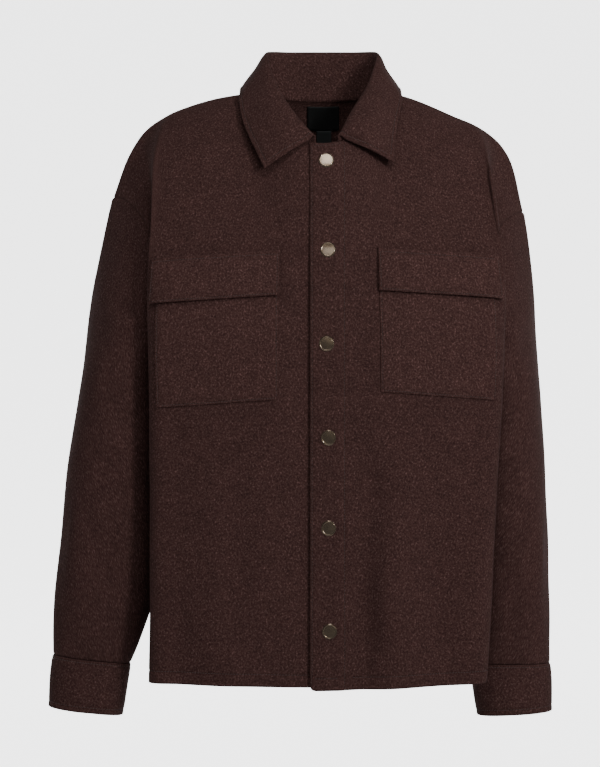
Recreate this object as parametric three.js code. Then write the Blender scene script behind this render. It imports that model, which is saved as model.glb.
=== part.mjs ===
// An overshirt jacket of brown wool-blend cloth, filled out as worn with no wearer inside.
// Millimetres. +X is the wearer's left, -Y the front, +Z up. The origin lies between the two
// neck points of the shoulders, where the wearer's shoulders and neck hold the garment.
import * as THREE from 'three';

// Driving dimensions
const CLOTH = 2.0; // one layer of the cloth
const COLLAR_CLOTH = 3.0; // upper collar and under collar together
const PLACKET_CLOTH = 3.6; // the folded front band
const CUFF_CLOTH = 3.2; // the folded cuff
const FLAP_CLOTH = 3.2; // the folded pocket flap
const SEAM_GAP = 0.4; // between two pieces at a seam
const MOST_INSET = 1.2; // where two pieces meet in a sharp groove
const ALONGSIDE = 0.9; // an edge that runs on in the next piece doesn't face it
const HEM_SIDE_Z = -708; // the hem at the side seams and round the back
const UNDERARM_Z = -322; // where the side seam meets the armhole
const SEAM_Y = 5; // the side and shoulder seams lie on this plane
const NECK_HALF_WIDTH = 80;
const NECK_POINT_Z = 5;
const NECK_FRONT = { y: -80, z: -64 }; // the neckline at the centre front
const NECK_BACK = { y: 50, z: -3 }; // the neckline at the centre back
const UNDERLAP = { sink: 3.6, start: 42, full: 17 };
const SNAP = { radius: 8.5, height: 2.6 };
const SNAP_PLACES = [
  { x: 5, z: -87 },
  { x: 6.3, z: -194 },
  { x: 4.5, z: -305 },
  { x: 7, z: -416 },
  { x: 7.2, z: -522.5 },
  { x: 8.5, z: -644 },
];
const LABEL = { centre: 2, width: 40, top: -8, bottom: -37, thickness: 1.0 };
const SIZE_LABEL = { centre: 3, width: 19, top: -37.4, bottom: -54, thickness: 1.0 };
const LABEL_GAP = 0.5; // between a label and the back's inner skin

// Rows and columns of the panels
const ROWS_BELOW = 8; // from hem to underarm
const ROWS_ABOVE = 12; // from underarm to shoulder, and half the sleeve's ring
const ROWS = ROWS_BELOW + ROWS_ABOVE;
const YOKE_ROW = 15; // the back yoke's seam, 90 mm below the neckline
const YOKE_GAP = 0.5; // the lower back's share of that seam, where the cloth folds behind the arm
const PLACKET = { from: -15, to: 28.5, proud: 1.5, topRow: ROWS - 0.3 };

// Each side: one row a level, from hem to underarm. fold is the sharp edge where the front
// turns in beside the sleeve; side is the side seam; corner is the back's round corner; tuck is
// how far the cloth between them is drawn in under the arm.
const SIDES = {
  right: {
    sign: -1,
    hemFrontZ: -711.5,
    sections: [
      { z: -708, frontY: -122, foldX: 207, foldY: -88, sideX: 189, tuck: 0, backY: 106, cornerX: 196 },
      { z: -600, frontY: -124, foldX: 206, foldY: -90, sideX: 185, tuck: 2, backY: 107, cornerX: 193 },
      { z: -480, frontY: -125, foldX: 205.5, foldY: -92, sideX: 180, tuck: 5, backY: 108, cornerX: 188 },
      { z: -400, frontY: -126, foldX: 205.5, foldY: -94, sideX: 176, tuck: 10, backY: 111, cornerX: 184 },
      { z: -322, frontY: -127, foldX: 207, foldY: -95, sideX: 175, tuck: 18, backY: 115, cornerX: 180 },
    ],
    shoulder: [
      { x: 80, z: 5 },
      { x: 137, z: -5 },
      { x: 189, z: -24 },
      { x: 217, z: -44 },
      { x: 237, z: -74 },
      { x: 256, z: -125 },
    ],
    // The fold's edge and the notch behind it, by share of the way from underarm to shoulder
    foldLine: [
      { w: 0.3, x: 208, y: -93, z: -226 },
      { w: 0.55, x: 204, y: -80, z: -152 },
      { w: 0.8, x: 204, y: -52, z: -88 },
    ],
    notchLine: [
      { w: 0.3, x: 188, y: -76, z: -240 },
      { w: 0.55, x: 196, y: -57, z: -165 },
      { w: 0.8, x: 208, y: -34, z: -104 },
    ],
    armholeFront: { x: 52, y: -76 },
    armholeBack: { x: 26, y: 84 },
    collarEnd: 8,
    collarNarrower: 0,
    collarTip: { x: 64, z: -101 },
    pocket: { innerX: 52.5, dropOut: 10, flapTop: -194, flapBottom: -249, bottom: -371 },
  },
  left: {
    sign: 1,
    hemFrontZ: -715,
    sections: [
      { z: -708, frontY: -122, foldX: 196, foldY: -88, sideX: 168, tuck: 10, backY: 106, cornerX: 180 },
      { z: -600, frontY: -124, foldX: 202, foldY: -90, sideX: 166, tuck: 11, backY: 107, cornerX: 180 },
      { z: -480, frontY: -125, foldX: 207.5, foldY: -92, sideX: 165, tuck: 13, backY: 108, cornerX: 180 },
      { z: -400, frontY: -126, foldX: 213, foldY: -94, sideX: 166, tuck: 18, backY: 111, cornerX: 177.5 },
      { z: -322, frontY: -127, foldX: 216, foldY: -95, sideX: 168, tuck: 24, backY: 115, cornerX: 174.5 },
    ],
    shoulder: [
      { x: 80, z: 5 },
      { x: 112, z: -4 },
      { x: 157, z: -23 },
      { x: 201, z: -44 },
      { x: 228.5, z: -74 },
      { x: 247, z: -143 },
    ],
    foldLine: [
      { w: 0.3, x: 217, y: -93, z: -226 },
      { w: 0.55, x: 208, y: -80, z: -152 },
      { w: 0.8, x: 201, y: -52, z: -91 },
    ],
    notchLine: [
      { w: 0.3, x: 180, y: -76, z: -244 },
      { w: 0.55, x: 189, y: -57, z: -172 },
      { w: 0.8, x: 203, y: -34, z: -112 },
    ],
    armholeFront: { x: 46, y: -76 },
    armholeBack: { x: 22, y: 84 },
    collarEnd: 18,
    collarNarrower: 4,
    collarTip: { x: 84, z: -95 },
    pocket: { innerX: 68, dropOut: 10, flapTop: -191, flapBottom: -243, bottom: -362 },
  },
};

// Soft ridges and troughs that fall from the chest to the hem: how far each stands out at the
// hem, where it begins, and its place at both ends. Negative depths are troughs.
const DRAPES = [
  { panel: 'front', topZ: -370, topX: 62, hemX: 84, width: 27, depth: 9 },
  { panel: 'front', topZ: -360, topX: 44, hemX: 46, width: 15, depth: -4 },
  { panel: 'front', topZ: -430, topX: 150, hemX: 142, width: 20, depth: -3 },
  { panel: 'front', topZ: -420, topX: -120, hemX: -118, width: 26, depth: 4 },
  { panel: 'front', topZ: -420, topX: -165, hemX: -172, width: 18, depth: -4 },
  { panel: 'back', topZ: -250, topX: 100, hemX: 88, width: 26, depth: 8 },
  { panel: 'back', topZ: -250, topX: 40, hemX: 30, width: 24, depth: -5 },
  { panel: 'back', topZ: -300, topX: -92, hemX: -104, width: 28, depth: 7 },
];

// Columns of a front. reach is the distance from the centre at the underarm; past the neck
// point it is a share of the fold's width. top is the neckline's x, or a share of the shoulder.
const FRONT_COLUMNS = [
  { reach: -22, neck: -22 },
  { place: 'collarEnd', neck: 'collarEnd' },
  { reach: 28.5, neck: 28.5 },
  { reach: 62, neck: 56 },
  { reach: 98, neck: 80 },
  { share: 0.62, shoulder: 0.15 },
  { share: 0.8, shoulder: 0.34 },
  { share: 0.955, shoulder: 0.48 },
  { place: 'foldEdge', shoulder: 0.54 },
  { place: 'foldBack', shoulder: 0.58 },
  { place: 'notch', shoulder: 0.64 },
  { place: 'sideSeam', shoulder: 1 },
];
const FRONT_STEPS = [1, 1, 2, 4, 2, 2, 2, 2, 2, 2, 3]; // mesh columns between two of the above
const BACK_COLUMNS = [
  { across: 0, setBack: 0, neck: 0 },
  { across: 0.24, setBack: 1, neck: 45 },
  { across: 0.48, setBack: 3, neck: 80 },
  { across: 0.72, setBack: 9, shoulder: 0.22 },
  { across: 0.92, setBack: 22, shoulder: 0.46 },
  { across: 1, setBack: 48, shoulder: 0.66 },
  { place: 'sideMiddle', shoulder: 0.84 },
  { place: 'sideSeam', shoulder: 1 },
];
const BACK_STEPS = [3, 4, 2, 2, 2, 2, 2];

// Sleeve rings from the upper arm to the cuff. x is measured from the centre; a ring is drop
// lower at its inner side than at its outer side.
const SLEEVES = {
  right: [
    { z: -352, outer: 294.5, inner: 187, front: -73, back: 78, drop: 6 },
    { z: -444, outer: 307.5, inner: 190, front: -70, back: 64, drop: 8 },
    { z: -522, outer: 316, inner: 195, front: -68, back: 52, drop: 9 },
    { z: -600, outer: 323.5, inner: 203, front: -62, back: 42, drop: 10 },
    { z: -660, outer: 326.5, inner: 222, front: -53, back: 32, drop: 11 },
    { z: -686, outer: 327, inner: 233, front: -47, back: 26, drop: 11 },
  ],
  left: [
    { z: -352, outer: 264.5, inner: 179, front: -76, back: 88, drop: 0 },
    { z: -444, outer: 271, inner: 177, front: -74, back: 78, drop: 0 },
    { z: -522, outer: 274.5, inner: 176, front: -66, back: 68, drop: 0 },
    { z: -600, outer: 277, inner: 176.5, front: -54, back: 60, drop: 0 },
    { z: -664, outer: 277.5, inner: 178, front: -42, back: 46, drop: 0 },
    { z: -692, outer: 278, inner: 180, front: -36, back: 40, drop: 0 },
  ],
};
const CUFFS = {
  right: { z: -749, outer: 332, inner: 243, front: -47, back: 26, drop: 11 },
  left: { z: -753, outer: 280, inner: 190, front: -36, back: 40, drop: 6 },
};
const CUFF_STEP = 0.8; // how far the cuff stands out over the sleeve's end
const SLEEVE_SWELL = { outer: 3.5, inner: 8 }; // between the armhole and the upper ring
const SLEEVE_CAP_RINGS = 5;
const SLEEVE_LOWER_RINGS = 9;
const CUFF_RINGS = 2;

// The collar, by share of the way from the centre back to a front end. The roll line is where
// it turns over, with how wide it turns and how far the leaf then swells; its edge lies over
// the back, the shoulder and the front, lifted clear of them.
const ROLL_LINE = [
  { t: 0, x: 0, y: 60, z: 60, width: 10, bulge: 2 },
  { t: 0.18, x: 38, y: 58, z: 60, width: 10, bulge: 2 },
  { t: 0.31, x: 60, y: 44, z: 58, width: 8, bulge: 0.5 },
  { t: 0.4, x: 67, y: 22, z: 52, width: 5, bulge: -1.5 },
  { t: 0.52, x: 64, y: 4, z: 38, width: 5, bulge: 0 },
  { t: 0.68, x: 54, y: -20, z: 7, width: 8, bulge: 6 },
  { t: 0.85, x: 33, y: -53, z: -29, width: 10, bulge: 8 },
];
const ROLL_END = { y: -80, z: -55, width: 10, bulge: 3 };
const COLLAR_EDGE = [
  { t: 0, panel: 'back', x: 0, z: -26, lift: 6 },
  { t: 0.18, panel: 'back', x: 46, z: -24, lift: 6 },
  { t: 0.3, panel: 'back', x: 84, z: -15, lift: 6.5 },
  { t: 0.36, panel: 'back', x: 96, z: -5, lift: 6.5 },
  { t: 0.4, panel: 'shoulder', x: 101, lift: 6 },
  { t: 0.46, panel: 'front', x: 101.5, z: -7, lift: 6.5 },
  { t: 0.7, panel: 'front', x: 94, z: -45, lift: 8.5 },
];
const COLLAR_TIP_LIFT = 13;

const CLOTH_COLOUR = 0x37251f;
const cloth = () => new THREE.MeshStandardMaterial({ color: CLOTH_COLOUR, roughness: 0.95 });
const metal = () =>
  new THREE.MeshStandardMaterial({ color: 0x8a7a66, roughness: 0.3, metalness: 1 });
const woven = (color) => new THREE.MeshStandardMaterial({ color, roughness: 0.7 });

const vec = (x, y, z) => new THREE.Vector3(x, y, z);
const mix = (a, b, t) => a + (b - a) * t;
const smooth = (t) => THREE.MathUtils.smoothstep(t, 0, 1);

// The value of each column of a table at one place, on a smooth curve through its rows.
function rowAt(rows, key, at) {
  const rising = rows[rows.length - 1][key] > rows[0][key];
  let i = rows.findIndex((r) => (rising ? r[key] >= at : r[key] <= at));
  i = THREE.MathUtils.clamp(i < 0 ? rows.length - 1 : i, 1, rows.length - 1);
  const a = rows[i - 1];
  const b = rows[i];
  const before = rows[i - 2] ?? a;
  const after = rows[i + 1] ?? b;
  const span = b[key] - a[key];
  const t = THREE.MathUtils.clamp((at - a[key]) / span, 0, 1);
  const made = {};
  for (const column of Object.keys(a)) {
    if (typeof a[column] !== 'number') continue;
    const slopeA = (b[column] - before[column]) / (b[key] - before[key]);
    const slopeB = (after[column] - a[column]) / (after[key] - a[key]);
    made[column] =
      a[column] * (1 + 2 * t) * (1 - t) ** 2 +
      slopeA * span * t * (1 - t) ** 2 +
      b[column] * t * t * (3 - 2 * t) +
      slopeB * span * t * t * (t - 1);
  }
  return made;
}

// A place on the smooth line through some points; at runs from 0 to their count less one.
const along = (points, at) =>
  new THREE.CatmullRomCurve3(points, false, 'centripetal').getPoint(
    THREE.MathUtils.clamp(at / (points.length - 1), 0, 1),
  );

// Where in a range a rising or falling function reaches a value.
function solve(from, to, value, f) {
  const rising = f(to) > f(from);
  let [low, high] = [from, to];
  for (let i = 0; i < 40; i++) {
    const middle = (low + high) / 2;
    if (f(middle) < value === rising) low = middle;
    else high = middle;
  }
  return (low + high) / 2;
}

// Edges that panels share
function neckline(x, back) {
  const far = back ? NECK_BACK : NECK_FRONT;
  const sine = Math.sqrt(1 - Math.min(1, Math.abs(x) / NECK_HALF_WIDTH) ** 2);
  return vec(x, mix(SEAM_Y, far.y, sine), mix(NECK_POINT_Z, far.z, sine ** 1.5));
}

for (const side of Object.values(SIDES)) {
  const points = side.shoulder.map((p) => vec(p.x, SEAM_Y, p.z));
  side.shoulderCurve = new THREE.CatmullRomCurve3(points, false, 'centripetal');
}
const shoulder = (side, share) => side.shoulderCurve.getPointAt(share);

// The armhole, from the underarm (w = 0) to its top at the shoulder seam (w = 1).
function armhole(side, w, bow) {
  const low = vec(side.sections[side.sections.length - 1].sideX, SEAM_Y, UNDERARM_Z);
  const high = shoulder(side, 1);
  const turn = Math.PI * (1 - w);
  const point = low.clone().lerp(high, (1 + Math.cos(turn)) / 2);
  return point.add(vec(-bow.x * w * Math.sin(turn), bow.y * Math.sin(turn), 0));
}

// The top edge of a panel, along the neckline and then the shoulder.
function topEdge(side, table, across) {
  const i = Math.min(Math.floor(across), table.length - 2);
  const [a, b] = [table[i], table[i + 1]];
  const neckAt = (column) => (column.neck === 'collarEnd' ? side.collarEnd : column.neck);
  if (b.neck !== undefined) {
    return neckline(mix(neckAt(a), neckAt(b), across - i), table === BACK_COLUMNS);
  }
  return shoulder(side, mix(a.shoulder ?? 0, b.shoulder, across - i));
}

// The top edge has a corner at the neck point, which the smooth line through the columns
// rounds off: this carries the topmost rows back to it.
function keepCorner(p, side, table, across, w) {
  const heads = table.map((_, index) => topEdge(side, table, index));
  const back = table === BACK_COLUMNS;
  if (back) heads.unshift(heads[1].clone().multiply(vec(-1, 1, 1)));
  const off = topEdge(side, table, across).sub(along(heads, back ? across + 1 : across));
  return p.addScaledVector(off, w ** 8);
}

const drapeAt = (panel, x, z) =>
  DRAPES.filter((d) => d.panel === panel).reduce((sum, d) => {
    const share = smooth((d.topZ - z) / (d.topZ - HEM_SIDE_Z));
    const away = (x - mix(d.topX, d.hemX, share)) / d.width;
    return sum + d.depth * share * Math.exp(-away * away);
  }, 0);

// The front of one side at one level, hem to underarm, as points across the named columns.
function frontSection(side, z) {
  const s = rowAt(side.sections, 'z', z);
  const plate = (x) => mix(s.frontY, s.foldY - 13, (Math.abs(x) / s.foldX) ** 3);
  const places = {
    foldEdge: [s.foldX, s.foldY],
    foldBack: [s.foldX - 7, s.foldY + 12],
    notch: [mix(s.foldX, s.sideX, 0.55) - s.tuck, mix(s.foldY, SEAM_Y, 0.5)],
    sideSeam: [s.sideX, SEAM_Y],
  };
  return FRONT_COLUMNS.map((column) => {
    if (places[column.place]) return places[column.place];
    const x = column.place ? side[column.place] : (column.reach ?? column.share * s.foldX);
    return [x, plate(x)];
  });
}

// The same columns above the underarm, at a share w of the way up to the shoulder.
function frontColumnAbove(side, index, w) {
  const column = FRONT_COLUMNS[index];
  if (column.place === 'sideSeam') return armhole(side, w, side.armholeFront);
  const [x, y] = frontSection(side, UNDERARM_Z)[index];
  const foot = vec(x, y, UNDERARM_Z);
  const head = topEdge(side, FRONT_COLUMNS, index);
  if (column.place && !column.neck) {
    const at = (rows, start) => {
      const stations = rows.map((r) => ({ w: r.w, x: r.x, y: r.y, z: r.z }));
      const ends = [{ w: 0, x: start.x, y: start.y, z: start.z }, ...stations];
      const p = rowAt([...ends, { w: 1, x: head.x, y: head.y, z: head.z }], 'w', w);
      return vec(p.x, p.y, p.z);
    };
    if (column.place === 'foldEdge') return at(side.foldLine, foot);
    if (column.place === 'notch') return at(side.notchLine, foot);
    const between = at(side.foldLine, foot).lerp(at(side.notchLine, foot), 0.42);
    return between.lerp(foot, (1 - w) ** 8);
  }
  const inNeck = column.neck !== undefined && column.neck !== NECK_HALF_WIDTH;
  const rise = inNeck ? 90 : 120;
  const lean = inNeck ? vec(0, 22, 34) : vec(0, 62, 22);
  return new THREE.CubicBezierCurve3(
    foot,
    foot.clone().add(vec(0, 0, rise)),
    head.clone().sub(lean),
    head,
  ).getPoint(w);
}

// The outer skin of a front: across in columns of the table, up in mesh rows.
function frontPoint(side, across, row) {
  let points;
  if (row <= ROWS_BELOW) {
    const share = row / ROWS_BELOW;
    const level = mix(HEM_SIDE_Z, UNDERARM_Z, share);
    points = frontSection(side, level).map(([x, y], index) => {
      const out = Math.min(1, Math.max(0, x) / 190);
      const hem = mix(side.hemFrontZ, HEM_SIDE_Z, index > 8 ? 1 : out);
      return vec(x, y, mix(hem, UNDERARM_Z, share));
    });
  } else {
    const w = (row - ROWS_BELOW) / ROWS_ABOVE;
    points = FRONT_COLUMNS.map((_, index) => frontColumnAbove(side, index, w));
  }
  const p = along(points, across);
  if (row > ROWS_BELOW) {
    keepCorner(p, side, FRONT_COLUMNS, across, (row - ROWS_BELOW) / ROWS_ABOVE);
  }
  p.y -= drapeAt('front', side.sign * p.x, p.z) * (1 - smooth((across - 7) / 1.5));
  if (side === SIDES.right) {
    p.y += UNDERLAP.sink * (1 - smooth((p.x - UNDERLAP.full) / (UNDERLAP.start - UNDERLAP.full)));
  }
  return vec(side.sign * p.x, p.y, p.z);
}

// Between the back's corner and the armhole the cloth sinks in a soft fold behind the arm.
function behindArm({ foot, edge }, corner, w) {
  const sunk = corner.clone().lerp(edge, 0.5);
  sunk.add(vec(-3, -3, 0).multiplyScalar(Math.sin(Math.PI * w)));
  return sunk.lerp(foot, (1 - w) ** 9);
}

// The outer skin of the back on one side, from the centre back to the side seam.
function backPoint(side, across, row) {
  const below = row <= ROWS_BELOW;
  const level = below ? mix(HEM_SIDE_Z, UNDERARM_Z, row / ROWS_BELOW) : UNDERARM_Z;
  const s = rowAt(side.sections, 'z', level);
  const w = (row - ROWS_BELOW) / ROWS_ABOVE;
  const points = BACK_COLUMNS.map((column, index) => {
    const seam = column.place === 'sideSeam';
    const places = {
      sideSeam: vec(s.sideX, SEAM_Y, level),
      sideMiddle: vec(mix(s.sideX, s.cornerX, 0.5) - s.tuck * 0.4, 42, level),
    };
    const across = vec(column.across * s.cornerX, s.backY - column.setBack, level);
    const foot = places[column.place] ?? across;
    if (below) return foot;
    const edge = armhole(side, w, side.armholeBack);
    if (seam) return edge;
    if (column.place) return { foot, edge };
    const head = topEdge(side, BACK_COLUMNS, index);
    const lean = column.neck < NECK_HALF_WIDTH ? vec(0, -22, 16) : vec(0, -66, 16);
    const up = foot.clone().add(vec(0, 5, 120));
    return new THREE.CubicBezierCurve3(foot, up, head.clone().sub(lean), head).getPoint(w);
  });
  const middle = points.findIndex((point) => point.edge);
  if (middle > 0) points[middle] = behindArm(points[middle], points[middle - 1], w);
  const mirrored = points[1].clone().multiply(vec(-1, 1, 1));
  const p = along([mirrored, ...points], across + 1);
  if (!below) keepCorner(p, side, BACK_COLUMNS, across, w);
  p.y += drapeAt('back', side.sign * p.x, p.z) * (1 - smooth((across - 4) / 1.5));
  return vec(side.sign * p.x, p.y, p.z);
}

// Where a panel has a given height on one of its columns, or a given distance from the centre.
const rowAtHeight = (point, side, across, z) =>
  solve(0, ROWS, z, (row) => point(side, across, row).z);
const acrossAtX = (point, side, row, x, last) =>
  solve(0, last, x, (across) => Math.abs(point(side, across, row).x));

// Mesh columns of a table, each column split into its steps.
function splitColumns(steps, from = 0) {
  const made = [from];
  for (let i = from; i < steps.length; i++) {
    for (let k = 1; k <= steps[i]; k++) made.push(i + k / steps[i]);
  }
  return made;
}

// Panels are grids of outer points, [row][column], with the outside on the side that
// column x row points to, or the other one when turned is true.
const up = (count, at) => Array.from({ length: count + 1 }, (_, i) => at(i));
const clampIndex = (i, count) => Math.max(0, Math.min(count - 1, i));

function gridNormals(grid, { closed = false, turned = false }) {
  const columns = grid[0].length;
  return grid.map((line, i) =>
    line.map((_, j) => {
      const left = closed ? (j + columns - 1) % columns : Math.max(0, j - 1);
      const right = closed ? (j + 1) % columns : Math.min(columns - 1, j + 1);
      const across = grid[i][right].clone().sub(grid[i][left]);
      const rise = grid[Math.min(grid.length - 1, i + 1)][j].clone();
      rise.sub(grid[Math.max(0, i - 1)][j]);
      return across.cross(rise).normalize().multiplyScalar(turned ? -1 : 1);
    }),
  );
}

// What each panel has at the points of its cut edges: its normal there, and the way from each
// edge into the panel. Panels that meet at a point find each other here.
const seams = new Map();
const finalNormals = new Map();
const seamKey = (p) => [p.x, p.y, p.z].map((c) => Math.round(c * 100)).join();

function edgesAt({ grid, closed }, i, j) {
  const rows = grid.length;
  const columns = grid[0].length;
  const beside = (k) => grid[i][closed ? (k + columns) % columns : clampIndex(k, columns)];
  const inward = (neighbour, ahead, behind) => {
    const run = ahead.clone().sub(behind).normalize();
    const into = neighbour.clone().sub(grid[i][j]);
    return into.addScaledVector(run, -into.dot(run)).normalize();
  };
  const found = [];
  const rowSides = [beside(j + 1), beside(j - 1)];
  if (i === 0) found.push({ edge: 'bottom', into: inward(grid[1][j], ...rowSides) });
  if (i === rows - 1) found.push({ edge: 'top', into: inward(grid[rows - 2][j], ...rowSides) });
  if (closed) return found;
  const columnSides = [grid[clampIndex(i + 1, rows)][j], grid[clampIndex(i - 1, rows)][j]];
  if (j === 0) found.push({ edge: 'start', into: inward(grid[i][1], ...columnSides) });
  if (j === columns - 1) {
    found.push({ edge: 'end', into: inward(grid[i][columns - 2], ...columnSides) });
  }
  return found;
}

function shareSeams(panel) {
  panel.grid.forEach((line, i) =>
    line.forEach((p, j) => {
      const edges = edgesAt(panel, i, j);
      if (!edges.length) return;
      if (!seams.has(seamKey(p))) seams.set(seamKey(p), []);
      seams.get(seamKey(p)).push({ panel, edges, normal: panel.normals[i][j] });
    }),
  );
}

function makePanel(name, grid, options) {
  const panel = { name, grid, closed: false, turned: false, insets: {}, ...options };
  panel.normals ??= gridNormals(grid, panel);
  return panel;
}

// At a ridge two panels share one normal, so their cut edges lie face to face; at a groove
// each keeps its own, and is drawn back further the sharper the groove.
function seamPoint(panel, i, j) {
  const p = panel.grid[i][j];
  const normal = panel.normals[i][j].clone();
  const edges = edgesAt(panel, i, j);
  const others = (seams.get(seamKey(p)) ?? []).filter((seam) => seam.panel !== panel);
  for (const other of others) {
    const groove = Math.max(...edges.map((edge) => edge.into.dot(other.normal)));
    const weight = THREE.MathUtils.clamp(1 - 3 * Math.max(0, groove), 0, 1);
    normal.addScaledVector(other.normal, weight);
  }
  if (panel.flatSeams && Math.abs(p.y - SEAM_Y) < 0.001) normal.y = 0;
  normal.normalize();
  const moved = p.clone();
  for (const { edge, into } of edges) {
    if (!panel.insets[edge]) continue;
    const facing = others
      .flatMap((other) => other.edges.map((o) => o.into.dot(into)))
      .filter((share) => share < ALONGSIDE);
    const sine = Math.sqrt((1 - Math.max(-1, ...facing)) / 2);
    moved.addScaledVector(into, Math.min(MOST_INSET, panel.insets[edge] / Math.max(0.1, sine)));
  }
  return { moved, normal };
}

// The closed wall of a panel: its outer skin, an inner skin one thickness in, and the edges.
function wallGeometry(panel) {
  const { grid, thickness, closed, turned } = panel;
  const points = grid.map((line, i) => line.map((_, j) => seamPoint(panel, i, j)));
  points.forEach((line, i) =>
    line.forEach(({ normal }, j) => finalNormals.set(seamKey(grid[i][j]), normal)),
  );
  const outer = points.map((line) => line.map(({ moved }) => moved));
  const inner = points.map((line) =>
    line.map(({ moved, normal }) => moved.clone().addScaledVector(normal, -thickness)),
  );
  return shellGeometry(outer, inner, { closed, turned });
}

function shellGeometry(outer, inner, { closed = false, turned = false }) {
  const rows = outer.length;
  const columns = outer[0].length;
  const positions = [...outer.flat(), ...inner.flat()].flatMap((p) => [p.x, p.y, p.z]);
  const index = [];
  const id = (skin, i, j) => skin * rows * columns + i * columns + (j % columns);
  const face = (a, b, c, flip) => index.push(...(flip === turned ? [a, b, c] : [a, c, b]));
  const quad = (a, b, c, d, flip, cross) => {
    if (cross) {
      face(a, b, d, flip);
      face(b, c, d, flip);
    } else {
      face(a, b, c, flip);
      face(a, c, d, flip);
    }
  };
  const across = closed ? columns : columns - 1;
  for (let i = 0; i < rows - 1; i++) {
    for (let j = 0; j < across; j++) {
      const [a, b] = [outer[i][j], outer[i][(j + 1) % columns]];
      const [d, c] = [outer[i + 1][j], outer[i + 1][(j + 1) % columns]];
      const cross = b.distanceTo(d) < a.distanceTo(c);
      for (const skin of [0, 1]) {
        const corner = (di, dj) => id(skin, i + di, j + dj);
        quad(corner(0, 0), corner(0, 1), corner(1, 1), corner(1, 0), skin === 1, cross);
      }
    }
  }
  const edge = (i1, j1, i2, j2) =>
    quad(id(1, i1, j1), id(1, i2, j2), id(0, i2, j2), id(0, i1, j1), false, false);
  for (let j = 0; j < across; j++) {
    edge(0, j, 0, j + 1);
    edge(rows - 1, j + 1, rows - 1, j);
  }
  if (!closed) {
    for (let i = 0; i < rows - 1; i++) {
      edge(i + 1, 0, i, 0);
      edge(i, columns - 1, i + 1, columns - 1);
    }
  }
  const geometry = new THREE.BufferGeometry();
  geometry.setAttribute('position', new THREE.Float32BufferAttribute(positions, 3));
  geometry.setIndex(index);
  geometry.computeVertexNormals();
  return geometry;
}

const garment = new THREE.Group();

function addMesh(name, geometry, material) {
  const mesh = new THREE.Mesh(geometry, material);
  mesh.name = name;
  garment.add(mesh);
  return mesh;
}

// Body panels
const HALF_GAP = SEAM_GAP / 2;
const bodyInsets = { top: HALF_GAP, end: HALF_GAP };

function frontPanel(name, side, firstColumn, extra = {}) {
  const columns = splitColumns(FRONT_STEPS, firstColumn);
  const grid = up(ROWS, (row) => columns.map((across) => frontPoint(side, across, row)));
  const insets = { ...bodyInsets, ...extra };
  return makePanel(name, grid, {
    thickness: CLOTH,
    turned: side.sign < 0,
    flatSeams: true,
    insets,
  });
}

// The back is cut in two, a yoke over a lower back, from one skin and its normals.
function backPanels() {
  const columns = splitColumns(BACK_STEPS);
  const grid = up(ROWS, (row) => [
    ...columns.toReversed().map((across) => backPoint(SIDES.left, across, row)),
    ...columns.slice(1).map((across) => backPoint(SIDES.right, across, row)),
  ]);
  const normals = gridNormals(grid, {});
  const cut = (name, first, last, insets = {}) =>
    makePanel(name, grid.slice(first, last + 1), {
      normals: normals.slice(first, last + 1),
      thickness: CLOTH,
      flatSeams: true,
      insets: { top: HALF_GAP, start: HALF_GAP, end: HALF_GAP, ...insets },
    });
  return [
    cut('back', 0, YOKE_ROW, { top: YOKE_GAP }),
    cut('back_yoke', YOKE_ROW, ROWS, { bottom: HALF_GAP }),
  ];
}

// Sleeves: rings of points, from the top of the armhole over the front, under and up the back.
const RING = 2 * ROWS_ABOVE;

function armholeRing(side) {
  return up(RING - 1, (k) => {
    const front = k <= ROWS_ABOVE;
    const w = front ? 1 - k / ROWS_ABOVE : (k - ROWS_ABOVE) / ROWS_ABOVE;
    const p = armhole(side, w, front ? side.armholeFront : side.armholeBack);
    return vec(side.sign * p.x, p.y, p.z);
  });
}

function sleeveRing(side, row, grow = 0) {
  return up(RING - 1, (k) => {
    const turn = (2 * Math.PI * k) / RING;
    const square = (value) => Math.sign(value) * Math.abs(value) ** 0.9;
    const x = (row.outer + row.inner) / 2;
    const halfX = (row.outer - row.inner) / 2 + grow;
    const y = (row.front + row.back) / 2;
    const halfY = (row.back - row.front) / 2 + grow;
    const z = row.z + (row.drop / 2) * Math.cos(turn);
    return vec(side.sign * (x + halfX * square(Math.cos(turn))), y - halfY * square(Math.sin(turn)), z);
  });
}

function sleevePanel(name, sideName) {
  const side = SIDES[sideName];
  const rows = SLEEVES[sideName];
  const top = armholeRing(side);
  const upper = sleeveRing(side, rows[0]);
  const grid = up(SLEEVE_CAP_RINGS, (i) => {
    const w = i / SLEEVE_CAP_RINGS;
    return top.map((p, k) => {
      const inner = Math.cos((2 * Math.PI * k) / RING) < 0;
      const swell = (inner ? SLEEVE_SWELL.inner : SLEEVE_SWELL.outer) * Math.sin(Math.PI * w);
      const reach = Math.abs(Math.cos((2 * Math.PI * k) / RING));
      return p.clone().lerp(upper[k], w).add(vec(side.sign * swell * reach, 0, 0));
    });
  });
  for (let i = 1; i <= SLEEVE_LOWER_RINGS; i++) {
    const z = mix(rows[0].z, rows[rows.length - 1].z, i / SLEEVE_LOWER_RINGS);
    grid.push(sleeveRing(side, rowAt(rows, 'z', z)));
  }
  return makePanel(name, grid, {
    thickness: CLOTH,
    closed: true,
    turned: side.sign < 0,
    insets: { bottom: HALF_GAP, top: HALF_GAP },
  });
}

function cuffPanel(name, sideName) {
  const side = SIDES[sideName];
  const rows = SLEEVES[sideName];
  const top = { ...rows[rows.length - 1] };
  const bottom = CUFFS[sideName];
  const grid = up(CUFF_RINGS, (i) => {
    const w = i / CUFF_RINGS;
    const row = Object.fromEntries(Object.keys(top).map((c) => [c, mix(top[c], bottom[c], w)]));
    return sleeveRing(side, row, CUFF_STEP);
  });
  return makePanel(name, grid, {
    thickness: CUFF_CLOTH,
    closed: true,
    turned: side.sign < 0,
    insets: { bottom: SEAM_GAP * 2 },
  });
}

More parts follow.
